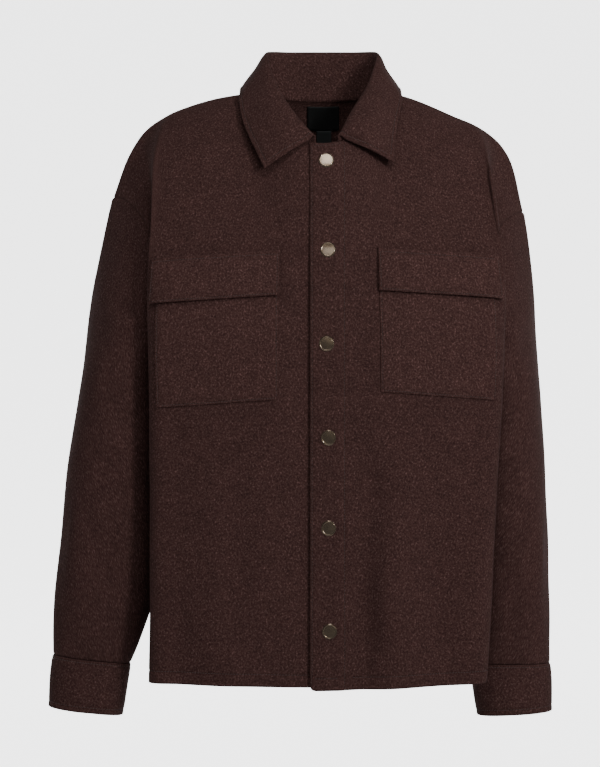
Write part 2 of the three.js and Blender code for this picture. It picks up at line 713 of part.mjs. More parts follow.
// Collar: from the neckline up inside the neck, over the roll line and down to its edge.
function collarColumns() {
  const half = (side) => {
    const back = splitColumns(BACK_STEPS.slice(0, 2)).map((a) => backPoint(side, a, ROWS));
    const fronts = splitColumns(FRONT_STEPS.slice(0, 4), 1).toReversed();
    return [...back, ...fronts.slice(1).map((a) => frontPoint(side, a, ROWS))];
  };
  return { right: half(SIDES.right), left: half(SIDES.left) };
}

// Shares of the way round the neckline, 0 at the centre back and 0.4 at the neck point.
const NECK_POINT_SHARE = 0.4;

function shares(points) {
  const lengths = [0];
  for (let i = 1; i < points.length; i++) {
    lengths.push(lengths[i - 1] + points[i].distanceTo(points[i - 1]));
  }
  const neck = lengths[points.findIndex((p) => Math.abs(p.x) > NECK_HALF_WIDTH - 0.01)];
  const whole = lengths[lengths.length - 1];
  return lengths.map((l) =>
    l < neck
      ? (NECK_POINT_SHARE * l) / neck
      : mix(NECK_POINT_SHARE, 1, (l - neck) / (whole - neck)),
  );
}

function collarEdgeRows(side) {
  const tip = { t: 1, panel: 'front', ...side.collarTip, lift: COLLAR_TIP_LIFT };
  const narrow = (row) => ({ ...row, x: row.x - side.collarNarrower * smooth(row.x / 80) });
  return [...COLLAR_EDGE.map(narrow), tip].map((row) => {
    if (row.panel === 'shoulder') {
      const share = solve(0, 1, row.x, (at) => shoulder(side, at).x);
      const top = shoulder(side, share);
      return { t: row.t, x: side.sign * row.x, y: top.y, z: top.z + row.lift };
    }
    const point = row.panel === 'back' ? backPoint : frontPoint;
    const last = row.panel === 'back' ? 3 : 6;
    const place = (rows) => acrossAtX(point, side, rows, row.x, last);
    let level = ROWS - 1;
    for (let i = 0; i < 8; i++) level = rowAtHeight(point, side, place(level), row.z);
    const across = place(level);
    const p = point(side, across, level);
    const step = 0.05;
    const right = point(side, across + step, level).sub(p);
    const rise = point(side, across, level - step).sub(p).negate();
    const normal = right.cross(rise).normalize();
    const outward = point === backPoint ? -side.sign : side.sign;
    p.addScaledVector(normal, row.lift * outward);
    return { t: row.t, x: p.x, y: p.y, z: p.z };
  });
}

function collarEdge(side, t) {
  side.collarEdge ??= collarEdgeRows(side);
  const p = rowAt(side.collarEdge, 't', t);
  return vec(p.x, p.y, p.z);
}

function rollRow(side, t) {
  const end = { t: 1, x: side.collarEnd, ...ROLL_END };
  return rowAt([...ROLL_LINE, end], 't', t);
}

function rollPoint(side, t) {
  const p = rollRow(side, t);
  return vec(side.sign * p.x, p.y, p.z);
}

const COLLAR_STEPS = [1, 1, 2, 2, 1, 1, 1];

function collarProfile(side, seam, seamNormal, away, t) {
  const roll = rollPoint(side, t);
  const ahead = rollPoint(side, Math.min(1, t + 0.02));
  const behind = rollPoint(side, Math.max(0, t - 0.02));
  const run = ahead.sub(behind).multiplyScalar(-side.sign).normalize();
  const rise = roll.clone().sub(seam).normalize();
  const out = run.cross(rise).normalize();
  const through = seamNormal.clone().addScaledVector(out, Math.max(0, -out.dot(away)));
  through.normalize();
  const foot = seam.clone().addScaledVector(through, -COLLAR_CLOTH);
  const edge = collarEdge(side, t);
  const { width, bulge } = rollRow(side, t);
  const turned = roll.clone().addScaledVector(out, width).addScaledVector(rise, -5);
  const skin = [
    foot,
    foot.clone().lerp(roll, 0.4),
    foot.clone().lerp(roll, 0.85),
    roll.clone().addScaledVector(out, width * 0.4),
    turned,
    turned.clone().lerp(edge, 0.35).addScaledVector(out, bulge),
    turned.clone().lerp(edge, 0.7).addScaledVector(out, bulge * 0.6),
    edge,
  ];
  return { through, skin: splitColumns(COLLAR_STEPS).map((at) => along(skin, at)) };
}

function collarPanel() {
  const columns = collarColumns();
  const profiles = (side, points) => {
    const ts = shares(points);
    let normal;
    return points.map((seam, i) => {
      normal = finalNormals.get(seamKey(seam)) ?? normal; // the front band has no seam points
      const rise = rollPoint(side, ts[i]).sub(seam);
      const away = rise.addScaledVector(normal, -rise.dot(normal)).normalize();
      const lifted = seam.clone().addScaledVector(away, SEAM_GAP);
      return collarProfile(side, lifted, normal, away, ts[i]);
    });
  };
  const right = profiles(SIDES.right, columns.right);
  const left = profiles(SIDES.left, columns.left);
  const made = [...right.toReversed(), ...left.slice(1)];
  const grid = made[0].skin.map((_, i) => made.map((column) => column.skin[i]));
  const panel = makePanel('collar', grid, { thickness: COLLAR_CLOTH });
  panel.normals[0] = made.map((column) => column.through.clone().negate());
  return panel;
}

// Pieces that lie on a front are made from its points, moved out along its normal.
function movedOut(side, across, row, distance, point = frontPoint) {
  const step = 0.05;
  const p = point(side, across, row);
  const right = point(side, across + step, row).sub(point(side, Math.max(0, across - step), row));
  const low = point(side, across, Math.max(0, row - step));
  const rise = point(side, across, Math.min(ROWS, row + step)).sub(low);
  const outward = point === backPoint ? -side.sign : side.sign;
  return p.addScaledVector(right.cross(rise).normalize(), distance * outward);
}

function layeredPiece(name, side, grid, skin) {
  const place = (which) =>
    grid.map((line, i) =>
      line.map((at) => movedOut(side, at.across, at.row, skin(i, at)[which])),
    );
  return addMesh(name, shellGeometry(place('out'), place('in'), { turned: side.sign < 0 }), cloth());
}

// Columns and rows of a pocket or flap: from its inner edge to a column near the fold, by way
// of the front's own mesh columns.
function pocketGrid(side, [innerX, last], levels) {
  const { dropOut } = side.pocket;
  const middle = rowAtHeight(frontPoint, side, 4, (levels[0] + levels[levels.length - 1]) / 2);
  const first = acrossAtX(frontPoint, side, middle, innerX, 7);
  const between = splitColumns(FRONT_STEPS).filter((c) => c > first + 0.15 && c < last - 0.1);
  const columns = [first, ...between, last];
  return levels.map((level) =>
    columns.map((across) => {
      const drop = (dropOut * (across - first)) / (last - first);
      const share = (across - first) / (last - first);
      return { across, share, row: rowAtHeight(frontPoint, side, across, level - drop) };
    }),
  );
}

const POCKET = { gap: 0.5, swell: 3, topBelowFlap: 20, lastColumn: 7 };
const FLAP = { wider: 1.5, lastColumn: 7.35, gap: 1, lip: 1 };

function addPocket(sideName) {
  const side = SIDES[sideName];
  const { innerX, flapTop, flapBottom, bottom } = side.pocket;
  const top = flapTop - POCKET.topBelowFlap;
  const bagLevels = up(5, (i) => mix(bottom, top, i / 5));
  const bag = pocketGrid(side, [innerX, POCKET.lastColumn], bagLevels);
  const bagSwell = (share) => POCKET.swell * Math.sin(Math.PI * share);
  layeredPiece(`pocket_${sideName}`, side, bag, (i, { share }) => {
    const low = POCKET.gap + bagSwell(share) * smooth(i / 5);
    return { in: low, out: low + CLOTH };
  });
  const flapLevels = [flapBottom, mix(flapBottom, flapTop, 0.5), flapTop - 9, flapTop];
  const flap = pocketGrid(side, [innerX - FLAP.wider, FLAP.lastColumn], flapLevels);
  layeredPiece(`flap_${sideName}`, side, flap, (i, { share }) => {
    const clear = POCKET.gap + CLOTH + FLAP.gap + bagSwell(share);
    const low = [clear + FLAP.lip, clear, clear * 0.7, POCKET.gap][i];
    return { in: low, out: low + FLAP_CLOTH };
  });
}

// Front band and its snap caps
function placketColumns(count) {
  return up(count, (j) => acrossAtCentre(mix(PLACKET.from, PLACKET.to, j / count)));
}

const acrossAtCentre = (x) => {
  const row = ROWS_BELOW;
  return solve(0, 3, x, (across) => frontPoint(SIDES.left, across, row).x);
};

function addPlacket() {
  const columns = placketColumns(3);
  const gridAt = (distance) =>
    up(ROWS, (row) =>
      columns.map((across) =>
        movedOut(SIDES.left, across, Math.min(row, PLACKET.topRow), distance),
      ),
    );
  const outer = gridAt(PLACKET.proud);
  const inner = gridAt(PLACKET.proud - PLACKET_CLOTH);
  for (const grid of [outer, inner]) {
    grid.forEach((line) => {
      line[line.length - 1].x -= SEAM_GAP + PLACKET.proud * 0.2;
    });
  }
  addMesh('placket', shellGeometry(outer, inner, {}), cloth());
}

function addSnaps() {
  const { radius, height } = SNAP;
  const profile = [
    [0, 0],
    [radius - 0.6, 0],
    [radius, 0.7],
    [radius - 0.5, height * 0.6],
    [radius * 0.72, height * 0.92],
    [0, height],
  ].map(([r, h]) => new THREE.Vector2(r, h));
  SNAP_PLACES.forEach(({ x, z }, i) => {
    const across = acrossAtCentre(x);
    const row = rowAtHeight(frontPoint, SIDES.left, across, z);
    const base = movedOut(SIDES.left, across, row, PLACKET.proud + 0.5);
    const tip = movedOut(SIDES.left, across, row, PLACKET.proud + 1.5);
    const cap = addMesh(`snap_${i + 1}`, new THREE.LatheGeometry(profile, 20), metal());
    cap.position.copy(base);
    cap.quaternion.setFromUnitVectors(vec(0, 1, 0), tip.sub(base).normalize());
  });
}

// Labels inside the back of the neck, moved in from the back's own points
function addLabel(name, { centre, width, top, bottom, thickness }, colour) {
  const place = (x, z, depth) => {
    const level = rowAtHeight(backPoint, SIDES.left, 0.1, z);
    const mirrored = vec(Math.sign(x) || 1, 1, 1);
    const across = acrossAtX(backPoint, SIDES.left, level, Math.abs(x), 2);
    return movedOut(SIDES.left, across, level, -CLOTH - LABEL_GAP - depth, backPoint).multiply(
      mirrored,
    );
  };
  const skin = (depth) =>
    [bottom, mix(bottom, top, 0.5), top].map((z) =>
      [-0.5, 0, 0.5].map((share) => place(centre + share * width, z, depth)),
    );
  addMesh(name, shellGeometry(skin(thickness), skin(0), {}), woven(colour));
}

const seamed = [
  frontPanel('front_right', SIDES.right, 0),
  frontPanel('front_left', SIDES.left, 2, { start: HALF_GAP }),
  ...backPanels(),
  sleevePanel('sleeve_right', 'right'),
  sleevePanel('sleeve_left', 'left'),
];
seamed.forEach(shareSeams);
const addWall = (panel) => addMesh(panel.name, wallGeometry(panel), cloth());
seamed.forEach(addWall);
addWall(collarPanel());
addWall(cuffPanel('cuff_right', 'right'));
addWall(cuffPanel('cuff_left', 'left'));
addPlacket();
addPocket('right');
addPocket('left');
addSnaps();
addLabel('neck_label', LABEL, 0x0b0d0d);
addLabel('size_label', SIZE_LABEL, 0x202221);

export default garment;
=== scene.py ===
"""An overshirt jacket of dark brown heathered wool-blend cloth, filled out as worn, hollow.

Sizes of the garment are in millimetres until a mesh is made. +X is the wearer's left, -Y the
front, +Z up, and the origin lies between the two neck points of the shoulder seams.
"""

import math

import bpy
import numpy as np
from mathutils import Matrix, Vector


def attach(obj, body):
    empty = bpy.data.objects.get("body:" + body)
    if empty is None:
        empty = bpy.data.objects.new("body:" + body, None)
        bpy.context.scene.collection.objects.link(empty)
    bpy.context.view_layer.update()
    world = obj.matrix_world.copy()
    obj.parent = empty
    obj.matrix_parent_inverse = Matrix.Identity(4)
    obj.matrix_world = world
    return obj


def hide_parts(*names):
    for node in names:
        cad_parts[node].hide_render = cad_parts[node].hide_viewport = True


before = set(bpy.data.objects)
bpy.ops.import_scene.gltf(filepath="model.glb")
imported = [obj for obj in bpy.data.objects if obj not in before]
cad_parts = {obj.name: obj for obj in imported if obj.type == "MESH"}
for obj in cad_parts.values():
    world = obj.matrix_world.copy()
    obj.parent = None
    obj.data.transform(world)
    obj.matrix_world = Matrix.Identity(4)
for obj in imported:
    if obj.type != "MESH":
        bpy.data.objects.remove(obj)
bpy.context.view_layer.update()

MM = 0.001  # in metres

# Thickness of the cloth
CLOTH = 1.6  # one layer of the wool cloth
HEM_FOLD = 3.0  # the turned hem, two layers
COLLAR_CLOTH = 3.0  # upper and under collar together
PLACKET_CLOTH = 3.4  # the folded band
CUFF_CLOTH = 3.0
FLAP_CLOTH = 3.0
LABEL_CLOTH = 0.7
GRID_STEP = 3.2  # between the mesh lines of a panel

# The pattern's own lines, as the solids have them
HEM_SIDE_Z = -708
UNDERARM_Z = -322
SEAM_Y = 5  # of the side seams and the shoulder seams
NECK_HALF_WIDTH = 80
NECK_POINT_Z = 5
NECK_FRONT = {"y": -80, "z": -64}
NECK_BACK = {"y": 50, "z": -3}
UNDERLAP = {"sink": 3.6, "start": 42, "full": 17}  # of the right front, under the band
SNAP_PLACES = [(5, -87), (6.3, -194), (4.5, -305), (7, -416), (7.2, -522.5), (8.5, -644)]  # x and z
ROWS_BELOW = 8  # from the hem to the underarm
ROWS_ABOVE = 12  # from the underarm to the shoulder
ROWS = ROWS_BELOW + ROWS_ABOVE
YOKE_ROW = 15  # the seam of the back yoke
YOKE_GAP = 0.016  # of a row, left open at that seam
PLACKET = {"left_edge": -15, "right_edge": 28.5, "proud": 1.5, "top_row": ROWS - 0.3}


def table(names, *rows):
    """A table with named columns, as a list of dictionaries."""
    return [dict(zip(names.split(), row)) for row in rows]


SECTION = "z front_y fold_x fold_y side_x tuck back_y corner_x"
SIDES = {
    "right": {
        "sign": -1,
        "hem_front_z": -711.5,
        "sections": table(
            SECTION,
            (-708, -122, 207, -88, 189, 0, 106, 196),
            (-600, -124, 206, -90, 185, 2, 107, 193),
            (-480, -125, 205.5, -92, 180, 5, 108, 188),
            (-400, -126, 205.5, -94, 176, 10, 111, 184),
            (-322, -127, 207, -95, 175, 18, 115, 180),
        ),
        "shoulder": [(80, 5), (137, -5), (189, -24), (217, -44), (237, -74), (256, -125)],
        "fold_line": table(
            "w x y z", (0.3, 208, -93, -226), (0.55, 204, -80, -152), (0.8, 204, -52, -88)
        ),
        "notch_line": table(
            "w x y z", (0.3, 188, -76, -240), (0.55, 196, -57, -165), (0.8, 208, -34, -104)
        ),
        "armhole_front": (52, -76),
        "armhole_back": (26, 84),
        "collar_end": 8,
        "collar_narrower": 0,
        "collar_tip": (64, -101),
        "pocket": {"inner_x": 52.5, "flap_top": -194, "flap_bottom": -249, "bottom": -371},
        "sleeve": table(
            "z outer inner front back drop",
            (-352, 294.5, 187, -73, 78, 6),
            (-444, 307.5, 190, -70, 64, 8),
            (-522, 316, 195, -68, 52, 9),
            (-600, 323.5, 203, -62, 42, 10),
            (-660, 326.5, 222, -53, 32, 11),
            (-686, 327, 233, -47, 26, 11),
        ),
        "cuff": {"z": -749, "outer": 332, "inner": 243, "front": -47, "back": 26, "drop": 11},
    },
    "left": {
        "sign": 1,
        "hem_front_z": -715,
        "sections": table(
            SECTION,
            (-708, -122, 196, -88, 168, 10, 106, 180),
            (-600, -124, 202, -90, 166, 11, 107, 180),
            (-480, -125, 207.5, -92, 165, 13, 108, 180),
            (-400, -126, 213, -94, 166, 18, 111, 177.5),
            (-322, -127, 216, -95, 168, 24, 115, 174.5),
        ),
        "shoulder": [(80, 5), (112, -4), (157, -23), (201, -44), (228.5, -74), (247, -143)],
        "fold_line": table(
            "w x y z", (0.3, 217, -93, -226), (0.55, 208, -80, -152), (0.8, 201, -52, -91)
        ),
        "notch_line": table(
            "w x y z", (0.3, 180, -76, -244), (0.55, 189, -57, -172), (0.8, 203, -34, -112)
        ),
        "armhole_front": (46, -76),
        "armhole_back": (22, 84),
        "collar_end": 18,
        "collar_narrower": 4,
        "collar_tip": (84, -95),
        "pocket": {"inner_x": 68, "flap_top": -191, "flap_bottom": -243, "bottom": -362},
        "sleeve": table(
            "z outer inner front back drop",
            (-352, 264.5, 179, -76, 88, 0),
            (-444, 271, 177, -74, 78, 0),
            (-522, 274.5, 176, -66, 68, 0),
            (-600, 277, 176.5, -54, 60, 0),
            (-664, 277.5, 178, -42, 46, 0),
            (-692, 278, 180, -36, 40, 0),
        ),
        "cuff": {"z": -753, "outer": 280, "inner": 190, "front": -36, "back": 40, "drop": 6},
    },
}

# Soft ridges and troughs that fall from the chest to the hem; negative depths are troughs
DRAPES = {
    "front": table(
        "top_z top_x hem_x width depth",
        (-370, 62, 84, 27, 9),
        (-360, 44, 46, 15, -4),
        (-430, 150, 142, 20, -3),
        (-420, -120, -118, 26, 4),
        (-420, -165, -172, 18, -4),
    ),
    "back": table(
        "top_z top_x hem_x width depth",
        (-250, 100, 88, 26, 8),
        (-250, 40, 30, 24, -5),
        (-300, -92, -104, 28, 7),
    ),
}

FRONT_COLUMNS = [
    {"reach": -22, "neck": -22},
    {"place": "collar_end", "neck": "collar_end"},
    {"reach": 28.5, "neck": 28.5},
    {"reach": 62, "neck": 56},
    {"reach": 98, "neck": 80},
    {"share": 0.62, "shoulder": 0.15},
    {"share": 0.8, "shoulder": 0.34},
    {"share": 0.955, "shoulder": 0.48},
    {"place": "fold_edge", "shoulder": 0.54},
    {"place": "fold_back", "shoulder": 0.58},
    {"place": "notch", "shoulder": 0.64},
    {"place": "side_seam", "shoulder": 1},
]
BACK_COLUMNS = [
    {"across": 0, "set_back": 0, "neck": 0},
    {"across": 0.24, "set_back": 1, "neck": 45},
    {"across": 0.48, "set_back": 3, "neck": 80},
    {"across": 0.72, "set_back": 9, "shoulder": 0.22},
    {"across": 0.92, "set_back": 22, "shoulder": 0.46},
    {"across": 1, "set_back": 48, "shoulder": 0.66},
    {"place": "side_middle", "shoulder": 0.84},
    {"place": "side_seam", "shoulder": 1},
]
FOLD_BACK_COLUMN = 9  # its place in FRONT_COLUMNS
FOLD = {"in": 7, "back": 12}  # from a front's fold to the line behind it
FOLD_BACK_SHARE = 0.42  # of the way from the fold's line to the notch's, above the underarm
NOTCH = {"across": 0.55, "back": 0.5}  # of the way from the fold to the side seam
CHEST = {"turn_back": 13, "power": 3}  # how far, and how late, the chest turns towards the fold
HEM_LEVEL_X = 190  # where the front's hem has come to the side's level
SIDE_MIDDLE = {"y": 42, "between": 0.5, "tucked": 0.4, "sunk": 3}
DRAPED = {"front": 7, "back": 4, "fade": 1.5}  # how many columns the drapes reach
UNDERARM_POWER = {"front": 8, "back": 9}  # how soon a column leaves the underarm's form
CORNER_POWER = 8  # how late a row turns into the neck point's corner
# A column's line above the underarm level: how it leaves that level and meets the top edge
ARCS = {
    ("front", "neck"): {"rise": (0, 0, 90), "lean": (0, 22, 34)},
    ("front", "shoulder"): {"rise": (0, 0, 120), "lean": (0, 62, 22)},
    ("back", "neck"): {"rise": (0, 5, 120), "lean": (0, -22, 16)},
    ("back", "shoulder"): {"rise": (0, 5, 120), "lean": (0, -66, 16)},
}
SLEEVE_SWELL = {"outer": 3.5, "inner": 8}  # of its upper part, over straight lines

ROLL_LINE = table(
    "t x y z width bulge",
    (0, 0, 60, 60, 10, 2),
    (0.18, 38, 58, 60, 10, 2),
    (0.31, 60, 44, 58, 8, 0.5),
    (0.4, 67, 22, 52, 5, -1.5),
    (0.52, 64, 4, 38, 5, 0),
    (0.68, 54, -20, 7, 8, 6),
    (0.85, 33, -53, -29, 10, 8),
)
ROLL_END = {"y": -80, "z": -55, "width": 10, "bulge": 3}
COLLAR_EDGE = table(
    "t panel x z lift",
    (0, "back", 0, -26, 6),
    (0.18, "back", 46, -24, 6),
    (0.3, "back", 84, -15, 6.5),
    (0.36, "back", 96, -5, 6.5),
    (0.4, "shoulder", 101, 0, 6),
    (0.46, "front", 101.5, -7, 6.5),
    (0.7, "front", 94, -45, 8.5),
)
COLLAR_TIP_LIFT = 16  # off the front, 3 more than the solid's
NECK_POINT_SHARE = 0.4  # of the way from the centre back to the collar's front end


# Curves and surfaces


def mix(a, b, t):
    return a + (b - a) * t


def smooth(t):
    t = np.clip(t, 0, 1)
    return t * t * (3 - 2 * t)


def unit(v):
    return v / np.maximum(np.linalg.norm(v, axis=-1, keepdims=True), 1e-9)


def points_of(x, y, z):
    """Points from coordinates that are arrays or plain numbers."""
    x, y, z = np.broadcast_arrays(x, y, z)
    return np.stack([x, y, z], -1).astype(float)


def table_at(rows, key, at):
    """Every numeric column of a table at the places `at`, on a smooth curve through its rows."""
    at = np.atleast_1d(np.asarray(at, float))
    names = [n for n in rows[0] if not isinstance(rows[0][n], str)]
    grid = np.array([[row[n] for n in names] for row in rows], float)
    place = grid[:, names.index(key)]
    way = 1 if place[-1] > place[0] else -1
    last = len(rows) - 1
    i = np.clip(np.searchsorted(way * place, way * at), 1, last)
    h, k = np.maximum(i - 2, 0), np.minimum(i + 1, last)
    a, b = grid[i - 1], grid[i]
    span = (place[i] - place[i - 1])[:, None]
    t = np.clip((at[:, None] - a[:, [names.index(key)]]) / span, 0, 1)
    slope_a = (b - grid[h]) / (place[i] - place[h])[:, None]
    slope_b = (grid[k] - a) / (place[k] - place[i - 1])[:, None]
    made = a * (1 + 2 * t) * (1 - t) ** 2 + slope_a * span * t * (1 - t) ** 2
    made += b * t * t * (3 - 2 * t) + slope_b * span * t * t * (t - 1)
    return {name: made[:, n] for n, name in enumerate(names)}


def along(points, at):
    """Places on the smooth line through points [..., count, 3]; `at` runs from 0 to count - 1."""
    points = np.asarray(points, float)
    count = points.shape[-2]
    at = np.clip(np.atleast_1d(np.asarray(at, float)), 0, count - 1)
    i = np.minimum(at.astype(int), count - 2)
    t = (at - i)[:, None]
    before = 2 * points[..., :1, :] - points[..., 1:2, :]
    after = 2 * points[..., -1:, :] - points[..., -2:-1, :]
    run = np.concatenate([before, points, after], -2)
    p0, p1, p2, p3 = (run[..., i + k, :] for k in range(4))

    def knot(a, b):
        return np.maximum(((a - b) ** 2).sum(-1, keepdims=True), 1e-8) ** 0.25

    d0, d1, d2 = knot(p0, p1), knot(p1, p2), knot(p2, p3)
    m1 = ((p1 - p0) / d0 - (p2 - p0) / (d0 + d1) + (p2 - p1) / d1) * d1
    m2 = ((p2 - p1) / d1 - (p3 - p1) / (d1 + d2) + (p3 - p2) / d2) * d1
    return p1 + m1 * t + (3 * (p2 - p1) - 2 * m1 - m2) * t**2 + (2 * (p1 - p2) + m1 + m2) * t**3


def bezier(a, b, c, d, t):
    t = t[:, None]
    return a * (1 - t) ** 3 + 3 * b * t * (1 - t) ** 2 + 3 * c * t * t * (1 - t) + d * t**3


def arc(panel, column, foot, head, w):
    """A column's line from the underarm level over the chest or the back to the top edge."""
    at_neck = column.get("neck", NECK_HALF_WIDTH) != NECK_HALF_WIDTH
    shape = ARCS[panel, "neck" if at_neck else "shoulder"]
    rise, lean = (np.array(shape[part], float) for part in ("rise", "lean"))
    return bezier(foot, foot + rise, head - lean, head, w)


def shoulder(side, share):
    """Points of the shoulder seam, by share of its length from the neck point."""
    if "shoulder_line" not in side:
        points = [(x, SEAM_Y, z) for x, z in side["shoulder"]]
        t = np.linspace(0, len(points) - 1, 201)
        steps = np.linalg.norm(np.diff(along(points, t), axis=0), axis=1)
        side["shoulder_line"] = points, np.concatenate([[0], np.cumsum(steps)]) / steps.sum(), t
    points, lengths, t = side["shoulder_line"]
    return along(points, np.interp(np.atleast_1d(share), lengths, t))


def armhole(side, w, bow):
    """The armhole, from the underarm (w = 0) to its top at the shoulder seam (w = 1)."""
    w = np.atleast_1d(w)
    low = np.array([side["sections"][-1]["side_x"], SEAM_Y, UNDERARM_Z], float)
    high = shoulder(side, 1)[0]
    turn = np.pi * (1 - w)
    point = low + (high - low) * ((1 + np.cos(turn)) / 2)[:, None]
    return point + points_of(-bow[0] * w * np.sin(turn), bow[1] * np.sin(turn), 0)


def neckline(x, back):
    far = NECK_BACK if back else NECK_FRONT
    sine = np.sqrt(1 - np.minimum(1, np.abs(x) / NECK_HALF_WIDTH) ** 2)
    return points_of(x, mix(SEAM_Y, far["y"], sine), mix(NECK_POINT_Z, far["z"], sine**1.5))


def top_edge(side, columns, across):
    """The top edge of a panel, along the neckline and then the shoulder."""

    def neck_at(column):
        return side["collar_end"] if column["neck"] == "collar_end" else column["neck"]

    made = []
    for at in np.atleast_1d(across):
        i = min(int(at), len(columns) - 2)
        a, b = columns[i], columns[i + 1]
        if "neck" in b:
            made.append(neckline(mix(neck_at(a), neck_at(b), at - i), columns is BACK_COLUMNS))
        else:
            made.append(shoulder(side, mix(a.get("shoulder", 0), b["shoulder"], at - i))[0])
    return np.array(made)


def keep_corner(points, side, columns, across, w):
    """Carries the top rows back to the neck point's corner, which the smooth line rounds off."""
    back = columns is BACK_COLUMNS
    heads = top_edge(side, columns, np.arange(len(columns)))
    if back:
        heads = np.concatenate([heads[1:2] * [-1, 1, 1], heads])
    off = top_edge(side, columns, across) - along(heads, across + 1 if back else across)
    return points + off[None] * (np.clip(w, 0, 1) ** CORNER_POWER)[:, None, None]


def drape(panel, side, points, across):
    """How far the soft ridges of a panel lift its points, less and less towards the side."""
    x, z = side["sign"] * points[..., 0], points[..., 2]
    total = 0
    for d in DRAPES[panel]:
        share = smooth((d["top_z"] - z) / (d["top_z"] - HEM_SIDE_Z))
        away = (x - mix(d["top_x"], d["hem_x"], share)) / d["width"]
        total = total + d["depth"] * share * np.exp(-away * away)
    return total * (1 - smooth((across - DRAPED[panel]) / DRAPED["fade"]))


def front_section(side, z):
    """The front of one side at levels z, as points [level, named column, (x, y)]."""
    s = table_at(side["sections"], "z", z)
    notch_x = mix(s["fold_x"], s["side_x"], NOTCH["across"]) - s["tuck"]
    places = {
        "fold_edge": (s["fold_x"], s["fold_y"]),
        "fold_back": (s["fold_x"] - FOLD["in"], s["fold_y"] + FOLD["back"]),
        "notch": (notch_x, mix(s["fold_y"], SEAM_Y, NOTCH["back"])),
        "side_seam": (s["side_x"], SEAM_Y),
    }
    made = []
    for column in FRONT_COLUMNS:
        place = column.get("place")
        if place in places:
            x, y = places[place]
        else:
            x = side[place] if place else column.get("reach", column.get("share", 0) * s["fold_x"])
            turned = (np.abs(x) / s["fold_x"]) ** CHEST["power"]
            y = mix(s["front_y"], s["fold_y"] - CHEST["turn_back"], turned)
        made.append(np.stack(np.broadcast_arrays(x, y), -1))
    return np.stack(made, 1)


def front_column_above(side, index, w):
    """A column of a front above the underarm level, at shares w of the way to its top edge."""
    column = FRONT_COLUMNS[index]
    place = column.get("place")
    if place == "side_seam":
        return armhole(side, w, side["armhole_front"])
    foot = np.array([*front_section(side, UNDERARM_Z)[0, index], UNDERARM_Z])
    head = top_edge(side, FRONT_COLUMNS, index)[0]
    if not place or "neck" in column:
        return arc("front", column, foot, head, w)

    def through(rows):
        ends = [dict(zip("wxyz", (end, *point))) for end, point in ((0, foot), (1, head))]
        p = table_at([ends[0], *rows, ends[1]], "w", w)
        return points_of(p["x"], p["y"], p["z"])

    if place == "fold_edge":
        return through(side["fold_line"])
    if place == "notch":
        return through(side["notch_line"])
    between = mix(through(side["fold_line"]), through(side["notch_line"]), FOLD_BACK_SHARE)
    return mix(between, foot, ((1 - w) ** UNDERARM_POWER["front"])[:, None])


def front_skin(side, across, rows):
    """The outer skin of a front, [row, column, 3]: across in named columns, rows from the hem."""
    rows = np.asarray(rows, float)
    share = np.minimum(rows / ROWS_BELOW, 1)
    flat = front_section(side, mix(HEM_SIDE_Z, UNDERARM_Z, share))
    out = np.clip(flat[:, :, 0] / HEM_LEVEL_X, 0, 1)
    out[:, FOLD_BACK_COLUMN:] = 1
    hem = mix(side["hem_front_z"], HEM_SIDE_Z, out)
    net = np.concatenate([flat, mix(hem, UNDERARM_Z, share[:, None])[..., None]], -1)
    w = np.clip((rows - ROWS_BELOW) / ROWS_ABOVE, 0, 1)
    above = np.stack([front_column_above(side, i, w) for i in range(len(FRONT_COLUMNS))], 1)
    net = np.where((rows > ROWS_BELOW)[:, None, None], above, net)
    p = keep_corner(along(net, across), side, FRONT_COLUMNS, across, w)
    p[..., 1] -= drape("front", side, p, across)
    if side["sign"] < 0:
        lap = (p[..., 0] - UNDERLAP["full"]) / (UNDERLAP["start"] - UNDERLAP["full"])
        p[..., 1] += UNDERLAP["sink"] * (1 - smooth(lap))
    return p * [side["sign"], 1, 1]


def back_skin(side, across, rows):
    """The outer skin of the back on one side, from the centre back to the side seam."""
    rows = np.asarray(rows, float)
    level = mix(HEM_SIDE_Z, UNDERARM_Z, np.minimum(rows / ROWS_BELOW, 1))
    s = table_at(side["sections"], "z", level)
    w = np.clip((rows - ROWS_BELOW) / ROWS_ABOVE, 0, 1)
    above = (rows > ROWS_BELOW)[:, None]
    edge = armhole(side, w, side["armhole_back"])
    made = []
    for index, column in enumerate(BACK_COLUMNS):
        place = column.get("place")
        if place == "side_seam":
            foot, top = points_of(s["side_x"], SEAM_Y, level), edge
        elif place:
            x = mix(s["side_x"], s["corner_x"], SIDE_MIDDLE["between"])
            foot = points_of(x - s["tuck"] * SIDE_MIDDLE["tucked"], SIDE_MIDDLE["y"], level)
            sink = points_of(-SIDE_MIDDLE["sunk"], -SIDE_MIDDLE["sunk"], 0)
            sunk = mix(made[-1], edge, 0.5) + sink * np.sin(np.pi * w)[:, None]
            top = mix(sunk, foot, ((1 - w) ** UNDERARM_POWER["back"])[:, None])
        else:
            y = s["back_y"] - column["set_back"]
            foot = points_of(column["across"] * s["corner_x"], y, level)
            head = top_edge(side, BACK_COLUMNS, index)[0]
            top = arc("back", column, foot, head, w)
        made.append(np.where(above, top, foot))
    net = np.stack([made[1] * [-1, 1, 1], *made], 1)
    p = keep_corner(along(net, across + 1), side, BACK_COLUMNS, across, w)
    p[..., 1] += drape("back", side, p, across)
    return p * [side["sign"], 1, 1]


def grid_normals(grid, closed=False, turned=False):
    if closed:
        across = np.roll(grid, -1, 1) - np.roll(grid, 1, 1)
    else:
        across = np.gradient(grid, axis=1)
    rise = np.gradient(grid, axis=0)
    return unit(np.cross(across, rise)) * (-1 if turned else 1)


PROBES = 400  # places along a row that are tried for one at a distance


